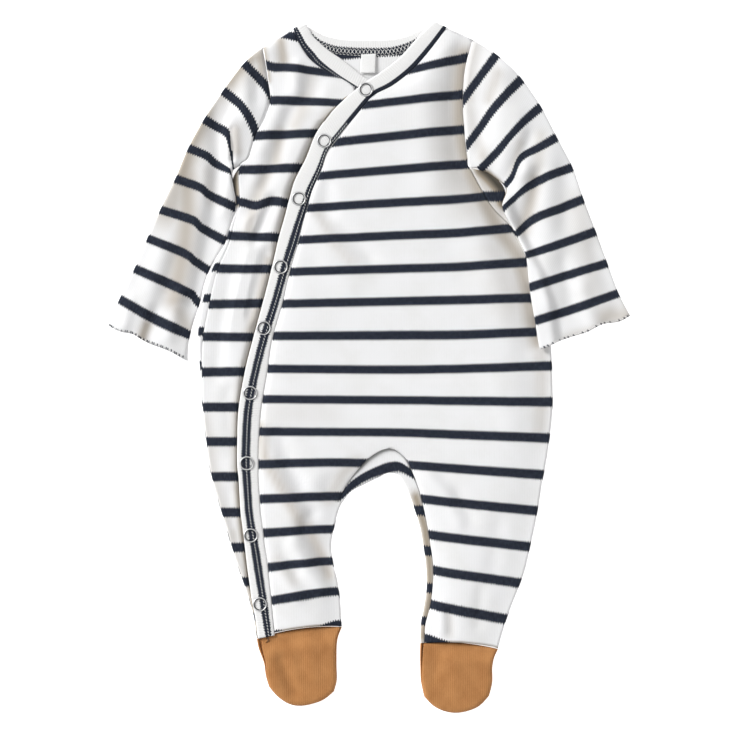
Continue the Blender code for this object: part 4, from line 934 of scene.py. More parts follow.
# Middles of the navy stripes on the under front, as heights at six places across.
UNDER_ACROSS = (-126, -99, -87, -74.5, -61, -38)
UNDER_STRIPES = [
    (266, 263.5, 260, 258.5, 255.5, 249), (246, 240, 236.5, 231, 230.5, 227.5),
    (207.5, 206.5, 206, 205.5, 205, 204), (176.5, 177.5, 178, 178.5, 179, 180),
    (151, 151.7, 152, 152.5, 153, 153.5), (129, 127, 124, 128, 125.8, 125),
    (101.5, 100.5, 100, 99.5, 99, 98.5), (76.5, 75.5, 75.5, 75.5, 75, 74.5),
    (48, 48.5, 49, 49, 49, 49), (23.5, 23, 23, 23, 23, 23),
    (-4, -3.5, -3.5, -3.5, -3.5, -3.5), (-31, -31, -31, -31, -31, -31),
    (-57.5, -57.5, -58, -58, -58, -58), (-84.5, -84.5, -85, -85, -85, -85),
    (-112, -112, -111.5, -111.5, -111.5, -111.5), (-139.5, -139, -139, -139, -139, -139),
    (-166, -165.5, -165.5, -165.5, -165.5, -165.5), (-192.5, -192.5, -192.5, -192.5, -192.5, -192.5),
]


def under_top(spots):
    rim = np.minimum(away_from(UNDER_RIM, spots), away_from(NECK_RIM, spots))
    return folded(spots, FULLNESS * (1 - bell(rim, FULL_REACH)), UNDER_FOLDS)


def make_under_front():
    mesh = bmesh.new()
    knit = knit_of(stripe_lines(UNDER_ACROSS, UNDER_STRIPES), shaded_creases=UNDER_PAINTED_SHADE)
    rows = []
    for place in list(TRUNK_PLACES) + list(CROTCH + LEG_PLACES[1:]):
        edge = side_at("right", place)
        end = through(LAP_EDGE, place) if place <= CROTCH else through(RIGHT_LEG, place - CROTCH)[6:8]
        across = unit(end - edge)
        end = end + across * (UNDER_LAP if place >= LAP_ROW else -SEAM_GAP)
        if place > UNDERARM:
            side = rounded_side(edge, side_into("right", place), side_wrap("right", place), under_top)
        else:
            side = armhole_side(edge, across, under_top)
        flat = raised(straight(side[0, :2], end, UNDER_COLUMNS), under_top)
        away = np.linalg.norm(flat[:, :2] - end, axis=1)
        if place >= LAP_ROW:
            flat[:, 2] = np.minimum(flat[:, 2], LAP_TOP + LAP_RISE * (1 - bell(away, DIP_REACH)))
            flat[:, 2] -= LAP_DIP * bell(away, DIP_REACH) + LAP_TUCK * bell(away - TUCK_PLACE, TUCK_WIDTH)
        else:
            flat[:, 2] -= GROOVE * bell(away, NECK_WIDTH)
        row = np.vstack((side[::-1], flat[1:]))
        row[:, 2] = 1.0 + (row[:, 2] - 1.0) * shoulder_share(row)
        rows.append(bow(row, place - CROTCH, "right"))
    rows = np.array(rows)
    lay(mesh, rows, knit(rows))
    return sew("under_front", mesh, CLOTH * SHELL_SHARE, STRIPED, "front_right")


under_front = make_under_front()

# ---------------------------------------------------------------------------- bands
# The lapped band and the two neck bands are folded strips of finer white rib, their seams
# covered by navy tape that white thread is worked over.

BAND_CROWN = 0.35         # a band is this much fuller in its middle
NECK_CROWN = 0.3
BACK_CROWN = 0.25
BAND_EDGE = 0.6           # a folded edge rounds down by this much
BAND_BEND = 0.45          # and over this width
BAND_GRID = 1.6           # spacing of a band's sections
BAND_WALL = 1.0
BAND_WHITE = (0.91, 0.908, 0.905, 1.0)
BAND_SHADE = (0.85, 0.84, 0.82, 1.0)
# Columns of a band's mesh, as shares of its width.
BAND_SHARES = np.array([0, 0.012, 0.03, 0.06, 0.1, *np.linspace(0.16, 0.84, 14), 0.9, 0.94, 0.97, 0.988, 1])
Neck = namedtuple("Neck", "sewn_x sewn_y free_x free_y height strip half")
RIGHT_NECK = [
    Neck(-58.5, 261, -48.5, 265, 1.6, 0.14, 1.5),
    Neck(-55.5, 253.5, -46, 260.5, 2, 0.16, 2.3),
    Neck(-51.5, 245.5, -43, 255, 2, 0.17, 2.6),
    Neck(-45.5, 238.5, -37.5, 249.5, 2, 0.17, 2.6),
    Neck(-39.5, 232, -31, 244, 2, 0.15, 2.4),
    Neck(-25, 223, -18.5, 235.5, 2, 0.09, 1.5),
    Neck(-10.5, 214, -5.5, 225, 2, 0.09, 1.5),
    Neck(-5.5, 211.5, 1, 221, 2, 0.09, 1.5),
]
BACK_NECK = [
    Neck(-58, 259.5, -51, 264.5, 0.25, 0.40, 2.9),
    Neck(-51, 254.6, -44, 261, 0.25, 0.38, 3),
    Neck(-41.5, 247, -35.5, 256.5, 0.25, 0.30, 3.1),
    Neck(-29.5, 242.5, -24.5, 253.6, 0.25, 0.24, 3.1),
    Neck(-14.5, 240.5, -12.5, 252.6, 0.25, 0.24, 3.1),
    Neck(1.5, 240, 1.5, 252.4, 0.25, 0.24, 3.1),
    Neck(17.5, 240.5, 15.5, 253, 0.25, 0.24, 3.1),
    Neck(31.5, 244, 27, 255, 0.25, 0.28, 3.1),
    Neck(43, 249.5, 37, 259, 0.25, 0.34, 3),
    Neck(52.5, 255.5, 45.5, 263.6, 0.25, 0.38, 3),
    Neck(59.5, 260.5, 52.5, 266, 0.25, 0.40, 2.9),
]


def band_rib():
    material, shader, strand = material_of("white_band_knit", 0.9, sheen=0.1)
    along, across, strip = knitted(strand)
    ribs = strand.sum_of("COSINE", along * (2 * math.pi / TOOTH))
    teeth = ribs * 0.12 + (grain_of(along, across, 0.8, 1.2) - 0.5) * 0.14
    navy = 1 - (strip.sum_of("ABSOLUTE", strip) + teeth).smooth(0.93, 1.07)
    speckle = grain_of(along, across, 1.4, 2.4)
    white = speckle.smooth(0.28, 0.55).dye(BAND_SHADE, BAND_WHITE)
    # Random worn speckle in the navy, with a painted highlight along the ribs' crowns.
    blue = (speckle + ribs * 0.1).smooth(0.42, 0.72).dye(NAVY, NAVY_WORN_AND_RIB_LIT)
    relief = ribs * 0.5 + grain_of(along, across, 2.6, 2.6) * 0.6
    join(strand, shader, navy.dye(white, blue), relief, 0.2, 0.6)
    return material


BAND_KNIT = band_rib()


def band_top(row, share, width, crown):
    """Height of a band's surface at some share of its width."""
    away = np.maximum(np.minimum(share, 1 - share) * width, 0.0)
    drop = BAND_EDGE * np.exp(-(away / BAND_BEND) ** 1.5)
    return row[4] + BAND_CLOTH + crown * np.sin(math.pi * share) - drop


def band_rows(table, places, crown):
    """Sections of a folded band, with the spots' way along it, across it and from its navy strip."""
    rows, knit, travel, last = [], [], 0.0, None
    for place in places:
        row = through(table, place)
        width = np.linalg.norm(row[2:4] - row[0:2])
        across = unit(row[2:4] - row[0:2])
        first, width = row[0:2] + across * SEAM_GAP, width - 2 * SEAM_GAP
        spots = first + across * (BAND_SHARES * width)[:, None]
        middle = spots[len(spots) // 2]
        travel += 0.0 if last is None else np.linalg.norm(middle - last)
        last = middle
        rows.append(np.column_stack((spots, band_top(row, BAND_SHARES, width, crown))))
        knit.append(np.column_stack((np.full(len(spots), travel), BAND_SHARES * width,
                                     (BAND_SHARES - row[5]) * width / row[6])))
    return np.array(rows), np.array(knit)


def make_band(name, node, table, places, crown):
    mesh = bmesh.new()
    lay(mesh, *band_rows(table, places, crown))
    return sew(name, mesh, BAND_WALL, BAND_KNIT, node)


def band_places(table):
    return evenly(len(table) - 1, BAND_GRID, columns(table, 0), columns(table, 2))


BAND_PLACES = band_places(OVER_BAND)
NECK_PLACES = band_places(RIGHT_NECK)
BACK_NECK_PLACES = band_places(BACK_NECK)
lapped_band = make_band("lapped_band", "over_band", OVER_BAND, BAND_PLACES, BAND_CROWN)
neck_band = make_band("neck_band", "neck_band_right", RIGHT_NECK, NECK_PLACES, NECK_CROWN)
back_neck_band = make_band("back_neck_band", "neck_band_back", BACK_NECK, BACK_NECK_PLACES, BACK_CROWN)

FACING_TOP = 3.2          # height of its upper side
FACING_WALL = 1.1
FACING_INSET = 3.6        # from the band's folded edge to the facing strip
FACING_COLUMNS = 7
FACING_KNIT = (15.0, 10.0, 5.0)     # along a section, across, and away from any navy strip


def make_facing():
    """The strip under the lap that the snaps' studs are set in."""
    places = BAND_PLACES[(BAND_PLACES > LAP_ROW) & (BAND_PLACES < len(OVER_BAND) - 1.2)]
    shares = np.linspace(0, 1, FACING_COLUMNS)
    rows, knit = [], []
    for place in places:
        row = through(OVER_BAND, place)
        across = unit(row[2:4] - row[0:2])
        spots = straight(row[0:2] + across * FACING_INSET, row[2:4] - across, FACING_COLUMNS)
        rows.append([(*spot, FACING_TOP) for spot in spots])
        knit.append([np.array((place, share, 1)) * FACING_KNIT for share in shares])
    mesh = bmesh.new()
    lay(mesh, np.array(rows), np.array(knit))
    return sew("facing_strip", mesh, FACING_WALL, BAND_KNIT, "under_placket")


facing = make_facing()

# ---------------------------------------------------------------------------- sleeves
# Each sleeve is one tube of the striped rib, sewn into its armhole and pressed flat.  The right
# one lies beside the body, the left one steps up onto the body's edge, and the cuffs are
# serged in navy and wave a little.

SLEEVE_FULLNESS = 1.1     # a sleeve is this much thicker inside its edges
SLEEVE_REACH = 9.0        # and fills out over this width
SLEEVE_STEP = 4.7         # the left sleeve lies this high over the body's edge
STEP_WIDTH = 9.0          # width over which it steps up
STEP_TOP = 139.0          # height on the body below which it lies on the edge
STEP_LENGTH = 14.0
SLEEVE_COLUMNS = 34       # of each layer
FREE_ROW = 6              # row from which the inner fold is clear of the armhole
CUFF_REACH = 0.4          # sections over which a cuff starts to wave
CUFF_WAVE = 1.3           # it waves this much along the sleeve
CUFF_RISE = 0.9           # and this much up and down
CUFF_TURNS = 2.4          # with this many waves
WAVE_LAG = 1.1            # and the rise runs this far behind, in radians
SEAM_FADE = 5.0           # sections over which the armhole's curve dies out
SHOULDER_ROWS = 3.0       # sections over which the shoulder line's pressed edge dies out
SHOULDER_PRESS = 0.7      # and how much of its height it loses
RIGHT_ARM = (-0.395, -0.918)      # the way each sleeve points
LEFT_ARM = (0.46, -0.89)
Sleeve = namedtuple("Sleeve", "outer_x outer_y inner_x inner_y under_x under_y")
RIGHT_SLEEVE = [
    Sleeve(-81.5, 247, -99.5, 155, 0, 0),
    Sleeve(-90, 240.5, -101.5, 154.5, 0, -0.8),
    Sleeve(-98.5, 232, -103, 154, 0, -1.8),
    Sleeve(-107, 221, -104.5, 153.5, 0.2, -2.4),
    Sleeve(-117, 207, -105.4, 152, 0.5, -2.6),
    Sleeve(-127, 191.5, -105.9, 149.5, 1, -2.6),
    Sleeve(-139.5, 168.5, -105.9, 144, 2, -1),
    Sleeve(-149.5, 145, -104, 124.5, 2.5, 0),
    Sleeve(-161, 121.5, -111.5, 97, 2, 0),
    Sleeve(-171, 99.5, -123.8, 73, 0, 0),
    Sleeve(-181, 76, -130.8, 48, 0, 0),
    Sleeve(-192.5, 52.5, -138, 24, 0, 0),
    Sleeve(-201.5, 32.5, -142, 7.5, 4, -3),
]
LEFT_SLEEVE = [
    Sleeve(80, 252.5, 78, 153.5, 0, 0),
    Sleeve(85.5, 249.5, 79.8, 153.2, 0, 0),
    Sleeve(91.5, 245.5, 81.5, 153.2, 0, 0),
    Sleeve(98.5, 241, 83.4, 153.3, 0, 0),
    Sleeve(108.5, 232, 85.6, 153.3, 0, -3),
    Sleeve(118, 222, 88.5, 153.3, 0, -4),
    Sleeve(132.5, 201, 96, 150, -2, -3.5),
    Sleeve(145, 177, 107, 138, -2.5, -1),
    Sleeve(157, 154, 102.5, 122.5, 0, 0),
    Sleeve(165.5, 129.5, 112.5, 103, 0, 0),
    Sleeve(175, 104.5, 120.5, 85.5, 0, 0),
    Sleeve(184, 80, 123.5, 60, 0, 0),
    Sleeve(192.5, 57, 127.5, 35.5, 0, 0),
    Sleeve(201.5, 39.5, 131, 14, 0, 0),
]
RIGHT_SLEEVE_FOLDS = [
    Fold(-3.8, 8, [(-112, 204), (-114.5, 176), (-116, 150), (-119, 121), (-126, 88), (-133, 52)]),
    Fold(2.4, 6, [(-107, 190), (-107.5, 165), (-108.5, 145), (-112, 120)]),
    Fold(2, 9, [(-130, 188), (-144, 158), (-155, 130)]),
    Fold(-1.6, 4.5, [(-87, 232), (-86, 206)]),
    Fold(1.4, 5, [(-95, 222), (-95, 192)]),
    Fold(1.6, 9, [(-158, 88), (-172, 46)]),
    Fold(-1.2, 6, [(-150, 84), (-158, 56)]),
    Fold(1.6, 6, [(-146, 56), (-154, 24)]),
    Fold(-2, 5, [(-164, 44), (-171, 20)]),
    Fold(1.6, 5, [(-184, 50), (-189, 28)]),
    Fold(-2.4, 2.2, [(-106, 183), (-104.8, 170), (-105.2, 160)]),
]
LEFT_SLEEVE_FOLDS = [
    Fold(-3.4, 10, [(80, 246), (76, 222), (75, 198), (78, 170)]),
    Fold(1.8, 9, [(104, 226), (102, 200), (104, 178)]),
    Fold(-1.6, 5, [(124, 178), (119, 166), (114, 156)]),
    Fold(1.4, 6, [(106, 168), (102, 154)]),
    Fold(1.6, 6.5, [(120, 152), (114, 132), (106, 118)]),
    Fold(-1.5, 5.5, [(131, 150), (126, 128), (119, 110)]),
    Fold(1.4, 9, [(140, 170), (136, 138), (138, 108)]),
    Fold(-1.6, 8, [(152, 150), (152, 112)]),
    Fold(-2, 9, [(176, 92), (192, 48)]),
    Fold(1.4, 8, [(134, 92), (138, 50)]),
    Fold(-1.3, 6, [(150, 84), (156, 46)]),
    Fold(1.4, 6, [(164, 62), (172, 34)]),
]
# Painted shade on the sleeves, along their creases and under the arms.
RIGHT_SLEEVE_PAINTED_SHADE = [
    Fold(0.85, 9, [(-92, 240), (-113, 216), (-129, 191), (-139, 168), (-144, 146)]),
    Fold(0.55, 13, [(-131, 188), (-141, 166), (-148, 142), (-156, 120)]),
    Fold(0.70, 8.5, [(-140, 150), (-139.5, 116), (-142, 94), (-147, 68), (-150, 52)]),
    Fold(0.50, 6, [(-154, 58), (-146, 42), (-141, 30)]),
    Fold(0.25, 7, [(-124, 150), (-121, 128)]),
    Fold(0.80, 4, [(-84, 244), (-83, 232), (-84, 222)]),
    Fold(0.50, 4.5, [(-103, 182), (-102, 166)]),
    Fold(0.80, 4.5, [(-171, 32), (-175.5, 20)]),
]
LEFT_SLEEVE_PAINTED_SHADE = [
    Fold(0.55, 5, [(82, 248), (78, 226), (76, 206)]),
    Fold(0.40, 4.5, [(99, 226), (92, 206)]),
    Fold(0.45, 5, [(77, 198), (83, 174), (88, 162)]),
    Fold(0.30, 5, [(132, 178), (130, 150)]),
    Fold(0.60, 5.5, [(128, 144), (124, 124), (119, 106)]),
    Fold(0.35, 4, [(116, 172), (113, 158), (110, 148)]),
    Fold(0.22, 10, [(160, 128), (168, 92), (172, 60)]),
    Fold(0.55, 8, [(198, 42), (182, 38)]),
    Fold(0.30, 4, [(152, 22), (188, 35)]),
]
# The part of the right sleeve between its armhole and the fold under the arm.
RIGHT_ARM_TUCK = [(-107, 190), (-99, 190), (-93.5, 181), (-92, 170), (-98, 150),
                  (-103.2, 150), (-104.6, 160), (-106, 172), (-107.6, 180)]
# Middles of the stripes, each from the outer fold across to the inner one.
RIGHT_SLEEVE_STRIPES = [
    [(-97.5, 235), (-88, 225.5), (-80, 217), (-75.5, 209.5)],
    [(-114.5, 214.5), (-98.5, 201), (-88.3, 185), (-86.5, 174)],
    [(-128.5, 191.5), (-118.5, 185.5), (-109.8, 180.5), (-107, 171), (-105.3, 158)],
    [(-139.5, 168.5), (-125, 162.5), (-119, 157), (-106, 151.5)],
    [(-149.5, 145), (-129.5, 138), (-123, 132.5), (-103, 123)],
    [(-161, 121), (-135.5, 113), (-129, 107), (-110.5, 97)],
    [(-171, 99.5), (-141, 87), (-134.5, 81.5), (-123, 74)],
    [(-181, 76), (-139.5, 58), (-134, 52.5), (-130, 48.5)],
    [(-192.5, 52.5), (-165, 37), (-138, 24.5)],
]
LEFT_SLEEVE_STRIPES = [
    [(98.5, 241), (87, 225.5), (74.5, 208.5)],
    [(118, 222), (106, 210), (94.5, 197), (86, 184.5), (77.5, 173)],
    [(132.5, 200.5), (118.5, 188), (100, 167), (86, 153)],
    [(145, 177), (131, 169), (116.5, 161), (110.5, 146), (106, 140)],
    [(157, 154), (136.5, 146.5), (120, 137.5), (111, 130), (103, 122.5)],
    [(165.5, 129.5), (146, 121.5), (127, 114), (114.5, 103)],
    [(175, 104.5), (142.5, 93), (119.5, 86)],
    [(184, 80), (153.5, 71), (123, 61)],
    [(192.5, 57), (160, 45.5), (128, 35.5)],
]
LEFT_EDGE_REACHES, LEFT_EDGE_HEIGHTS = np.array(LEFT_OUTLINE[::-1]).T


def eased(value):
    value = np.clip(value, 0, 1)
    return value * value * (3 - 2 * value)


def left_sleeve_floor(spots):
    """The left sleeve steps up from the table onto the body's edge."""
    edge = np.interp(spots[..., 1], LEFT_EDGE_HEIGHTS, LEFT_EDGE_REACHES)
    onto = eased((edge - spots[..., 0] + STEP_WIDTH) / STEP_WIDTH)
    return SLEEVE_STEP * onto * eased((STEP_TOP - spots[..., 1]) / STEP_LENGTH)


def table_floor(spots):
    return np.zeros(spots.shape[:-1])


def wave_of(shares, shift):
    """The cuff's waves, uneven along the hem."""
    uneven = 0.6 + 0.4 * np.sin(2 * math.pi * shares + 0.5)
    return np.sin(2 * math.pi * CUFF_TURNS * shares + shift) * uneven


def seam_spots(edge, shares):
    """Spots of an armhole seam at even shares of its length."""
    lengths = [np.linalg.norm(b - a) for a, b in zip(edge, edge[1:UNDERARM + 1])]
    marks = np.append(0, np.cumsum(lengths)) / sum(lengths)
    return np.array([through(edge, place) for place in np.interp(shares, marks, range(UNDERARM + 1))])


def make_sleeve(name, node, table, edge, floor, folds, shaded_creases, stripes, along, bare, mirrored):
    """A tube in rings, each with a top layer, an outer fold, a lower layer and an inner fold."""
    knit = knit_of(stripes, along, bare, shaded_creases)
    inset = -1 if mirrored else 1
    shares = np.linspace(0, 1, SLEEVE_COLUMNS)
    within = shares[1:-1, None]
    seam = seam_spots(edge, shares)
    chord = seam[0] + (seam[-1] - seam[0]) * shares[:, None]
    outers, inners = columns(table, 0), columns(table, 2)
    rims = outers, inners[FREE_ROW:], edge[:UNDERARM + 1]

    def top(spots):
        away = np.min([away_from(rim, spots) for rim in rims], axis=0)
        return floor(spots) + folded(spots, SLEEVE_FULLNESS * (1 - bell(away, SLEEVE_REACH)), folds)

    rings = []
    down = np.linspace(TURN, -TURN, 9)
    for place in evenly(len(table) - 1, GRID, outers, inners):
        row = through(table, place)
        outer, inner, under = row[0:2], row[2:4], row[4:6]
        line = outer + (inner - outer) * shares[:, None]
        line += (seam - chord) * max(0.0, 1 - place / SEAM_FADE) ** 2
        line[:, 0] += inset * SEAM_GAP * 2 * max(0.0, 1 - place)
        ripe = eased(1 - (len(table) - 1 - place) / CUFF_REACH)
        line += unit(np.array(along)) * (CUFF_WAVE * ripe * wave_of(shares, 0.0))[:, None]
        into = unit(inner - outer) * ROLL
        first, last = line[0] + into, line[-1] - into
        body = line[1:-1] + into * (1 - within) - into * within
        away = np.linalg.norm(body - seam[1:-1], axis=1)
        high = np.column_stack((body, top(body) - GROOVE * bell(away, ARMHOLE_WIDTH)))
        high[:, 2] += CUFF_RISE * ripe * wave_of(shares[1:-1], WAVE_LAG)
        low = np.column_stack((body + under * within, floor(body)))
        shift = under * ((TURN - down) / (2 * TURN))[:, None]
        outer_turn = rolled(line[0], into / ROLL, down, top, floor(first))
        inner_turn = rolled(line[-1] + shift, -into / ROLL, down, top, floor(last))
        if mirrored:
            ring = np.vstack((outer_turn[::-1], high, inner_turn, low[::-1]))
        else:
            ring = np.vstack((inner_turn[::-1], high[::-1], outer_turn, low))
        pressed = max(0.0, 1 - place / SHOULDER_ROWS) * (1 - shoulder_share(ring))
        ring[:, 2] *= 1 - SHOULDER_PRESS * pressed
        rings.append(np.vstack((ring, ring[:1])))
    rings = np.array(rings)
    cloth = knit(rings)
    # Painted shade: the creases' painted shade fades out down the sleeve's lower layer, where the painted
    # shadow of the tucks under the arm takes over.
    height = np.clip((rings[..., 2] - floor(rings)) / LAID_HEIGHT, 0, 1)
    cloth[..., 3] = cloth[..., 3] * height + painted_shade_at(rings, TUCK_SHADOWS) * (1 - height)
    mesh = bmesh.new()
    lay(mesh, rings, cloth)
    return sew(name, mesh, CLOTH * SHELL_SHARE, STRIPED, node), top


right_sleeve, right_sleeve_top = make_sleeve(
    "right_sleeve", "sleeve_right", RIGHT_SLEEVE, RIGHT_EDGE, table_floor,
    RIGHT_SLEEVE_FOLDS, RIGHT_SLEEVE_PAINTED_SHADE, RIGHT_SLEEVE_STRIPES, RIGHT_ARM, RIGHT_ARM_TUCK, True)
left_sleeve, left_sleeve_top = make_sleeve(
    "left_sleeve", "sleeve_left", LEFT_SLEEVE, LEFT_EDGE, left_sleeve_floor,
    LEFT_SLEEVE_FOLDS, LEFT_SLEEVE_PAINTED_SHADE, LEFT_SLEEVE_STRIPES, LEFT_ARM, (), False)

# ---------------------------------------------------------------------------- feet
# Each foot is a tan ribbed upper over a plain sole that comes up a little way round it, the ribs
# running from the ankle to the toe.

FOOT_CLOTH = 1.2          # tan knit, a little thicker than the body's
FOOT_HEIGHT = 5.6         # a foot's full height, reached towards the toe
FOOT_SWELL = 0.35         # share of its length over which a foot grows to its full height
FOOT_ROLL = 1.6           # a foot's edge rounds this many times more widely than the body's
FOOT_GAP = 0.1            # a foot starts this far below the leg
FOOT_DIP = 0.6            # and its upper dips this much there
UPPER_INSET = 0.02        # share of the foot by which the upper is smaller than the sole
FOOT_RIB = 1.45           # one rib of the tan knit
TAN = (0.560, 0.262, 0.094, 1.0)
TAN_DEEP = (0.405, 0.172, 0.055, 1.0)
FEET = {
    "right": ([(-86.5, -209.5), (-85, -217), (-81, -228), (-79.5, -238), (-77, -246.5)],
              [(-21, -200.5), (-24.5, -211), (-25, -228), (-24.8, -241), (-27, -250)],
              [(-77, -246.5), (-70.5, -254), (-61, -260), (-50, -261), (-36, -257), (-27, -250)]),
    "left": ([(39.5, -213), (39.3, -222), (39.5, -232), (40, -242), (42.5, -254)],
             [(99.5, -217.5), (96.5, -224), (95, -232), (95, -243), (92.5, -253.5)],
             [(42.5, -254), (50, -261.5), (60, -265.8), (71, -266.3), (84, -262), (92.5, -253.5)]),
}
SOLE_WRAP = {"right": 0.05, "left": 0.03}     # share of the foot that the sole shows beside the upper
FOOT_FOLDS = [
    Fold(-1.2, 5, [(-67, -226), (-63, -238), (-57, -250)]),
    Fold(0.9, 6, [(-75, -224), (-70, -242)]),
    Fold(-0.7, 5, [(-52, -226), (-46, -246)]),
    Fold(0.8, 7, [(-46, -212), (-44, -240)]),
    Fold(-0.8, 4, [(-80, -214), (-60, -211), (-36, -207)]),
    Fold(0.7, 8, [(66, -226), (68, -248)]),
    Fold(-0.7, 5, [(52, -224), (50, -240)]),
    Fold(-0.7, 4, [(44, -219), (70, -217), (94, -223)]),
]


def tan_rib():
    material, shader, strand = material_of("tan_foot_knit", 0.9, sheen=0.15)
    wale, course, _ = knitted(strand)
    wobble = grain_of(wale, course, 0.5, 0.16) - 0.5
    ribs = strand.sum_of("COSINE", wale * (2 * math.pi / FOOT_RIB) + wobble * 1.6)
    patches = grain_of(wale, course, 0.10, 0.07)
    # Random patches of tone, plus painted shade that makes the tan darker between the ribs.
    tone = (ribs * 0.07 + patches * 0.7 + grain_of(wale, course, 1.6, 0.8) * 0.4).smooth(0.20, 0.85)
    relief = ribs * 0.4 + grain_of(wale, course, 1.5, 1.1) * 0.7
    join(strand, shader, tone.dye(TAN_DEEP, TAN), relief, 0.22, 0.6)
    return material


TAN_KNIT = tan_rib()


def on_foot(side, u, v):
    """A place on a foot's outline patch, u across it and v from the ankle to the toe."""
    first, second, toe = FEET[side]
    low, high = np.array(first[0]), np.array(second[0])
    top = low + (high - low) * u
    ends = ANKLES[side]
    share = min(max((top[0] - ends[0]) / (ends[1] - ends[0]), 0.0), 1.0)
    top[1] += ANKLE_RISE[side] * 4 * share * (1 - share)
    toe_low, toe_high = np.array(first[-1]), np.array(second[-1])
    flat = (1 - u) * (1 - v) * low + u * (1 - v) * high + (1 - u) * v * toe_low + u * v * toe_high
    sides = (1 - u) * through(first, v * (len(first) - 1)) + u * through(second, v * (len(second) - 1))
    return (1 - v) * top + v * through(toe, u * (len(toe) - 1)) + sides - flat


def make_foot(side, upper):
    steps = np.linspace(0.0, 1.0, 24)
    outline = [on_foot(side, 0.0, v) for v in steps] + [on_foot(side, u, 1.0) for u in steps[1:]]
    outline += [on_foot(side, 1.0, v) for v in steps[::-1][1:]]
    inset = UPPER_INSET if upper else 0.0
    ends = np.array((0, 0.012, 0.03, 0.055, 0.09, 0.13))
    across = np.concatenate((ends, np.linspace(0.18, 0.82, 24), 1 - ends[::-1]))
    down = np.concatenate((np.linspace(0, 0.84, 30), 1 - ends[::-1]))
    rows = []
    for v in down:
        v = min(v, 1.0 - inset)
        row = []
        for u in np.clip(across, inset, 1.0 - inset):
            if upper and u < 0.1:
                u += SOLE_WRAP[side] * max(0.0, 1 - v * 1.25)
            row.append(on_foot(side, u, v) - np.array((0.0, FOOT_GAP)) * (1 - v))
        row = np.array(row)
        grown = eased(v / FOOT_SWELL)
        high = LAID_HEIGHT + (FOOT_HEIGHT - LAID_HEIGHT) * grown
        roll = ROLL * (1 + (FOOT_ROLL - 1) * grown)
        lean = np.sqrt(1 - (1 - np.minimum(away_from(outline, row) / roll, 1.0)) ** 2)
        height = high / 2 * (1 + lean if upper else 1 - lean)
        if upper:
            height = height + swell(row, FOOT_FOLDS) * lean - FOOT_DIP * bell(v, 0.03)
        rows.append(np.column_stack((row, height)))
    rows = np.array(rows)
    mesh = bmesh.new()
    lay(mesh, rows, rows * (1.0, 1.0, 0.0), under=not upper)
    kind = "upper" if upper else "sole"
    return sew(f"{side}_foot_{kind}", mesh, FOOT_CLOTH * SHELL_SHARE, TAN_KNIT,
               f"foot_{kind}_{side}")


for side in ("right", "left"):
    foot = make_foot(side, True)
    sole = make_foot(side, False)

# ---------------------------------------------------------------------------- snaps
# Nine open ring snaps of bright nickel sit along the band, one under the other; the cloth shows
# through each ring, and the studs that they close on are set in the strip below.

SNAPS = [(-2.5, 213.5), (-34.5, 174), (-54, 129.5), (-68, 77), (-81, 30),
         (-91.5, -20), (-94, -74), (-91, -129.5), (-84, -182.5)]
RING_SEAT = 6.1           # height of a ring's lower side
NICKEL_SHINE = (0.95, 0.95, 0.95, 1.0)
NICKEL_WORN = (0.80, 0.80, 0.81, 1.0)
NICKEL_PAINTED_SHADE = (0.04, 0.04, 0.045, 1.0)
# Painted light at each point of the ring's section: a painted highlight on the crown, painted shade on the
# inner lip.
RING_PAINTED_LIGHT = np.array([0.3, 0.4, 1, 1, 0.55, 0.1, 0, 0, 0, 0, 0, 0, 0.3, 0.3])
# The section itself: distance from the ring's middle, and height.
RING_SECTION = [(5.5, 0.25), (5.42, 0.62), (5.15, 0.92), (4.85, 0.98), (4.6, 0.82), (4.48, 0.68),
                (4.36, 0.74), (4.2, 0.82), (4.05, 0.7), (4, 0.4), (4.05, 0.1), (4.6, 0), (5.3, 0)]


def speckled(strand, scale, detail):
    """Noise in the piece's own space, for what isn't knitted."""
    place = strand.node("ShaderNodeTexCoord", {}, {}, 3)
    return strand.node("ShaderNodeTexNoise", {}, {"Vector": place, "Scale": scale, "Detail": detail})


def nickel():
    material, shader, strand = material_of("nickel", 0.40, metallic=0.72)
    # crown carries the ring's painted light: a painted highlight on its crown and painted shade on its inner
    # lip.
    crown = knitted(strand)[0]
    smudge = speckled(strand, 900.0, 3.0)
    bright = smudge.smooth(0.3, 0.7).dye(NICKEL_WORN, NICKEL_SHINE)
    join(strand, shader, crown.smooth(0.1, 0.95).dye(NICKEL_PAINTED_SHADE, bright), smudge, 0.02, 0.4)
    return material


NICKEL = nickel()


def make_ring(number, x, y):
    turns = np.linspace(0, 2 * math.pi, 49)
    section = np.array(RING_SECTION + RING_SECTION[:1])
    rows = np.array([np.column_stack((x + section[:, 0] * math.cos(turn), y + section[:, 0] * math.sin(turn),
                                      RING_SEAT + section[:, 1])) for turn in turns])
    mesh = bmesh.new()
    lay(mesh, rows, RING_PAINTED_LIGHT[None, :, None] * np.array((1.0, 0.0, 0.0)) + np.zeros(rows.shape))
    return sew(f"ring_{number}", mesh, 0, NICKEL, f"snap_ring_{number}")


for number, (x, y) in enumerate(SNAPS, start=1):
    make_ring(number, x, y)
    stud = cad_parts[f"snap_stud_{number}"]
    stud.data.materials.clear()
    stud.data.materials.append(NICKEL)

# ---------------------------------------------------------------------------- neck label
# A small bare satin label hangs inside the back neck, sewn in along its top edge.

LABEL_CORNERS = ((-6, 241), (5.5, 241.5), (5, 226.5), (-7, 226.5))
LABEL_CLOTH = 0.4
LABEL_GRID = 13           # rows and columns of its mesh
SATIN_WHITE = (0.93, 0.93, 0.92, 1.0)
SATIN_SHADE = (0.84, 0.84, 0.83, 1.0)


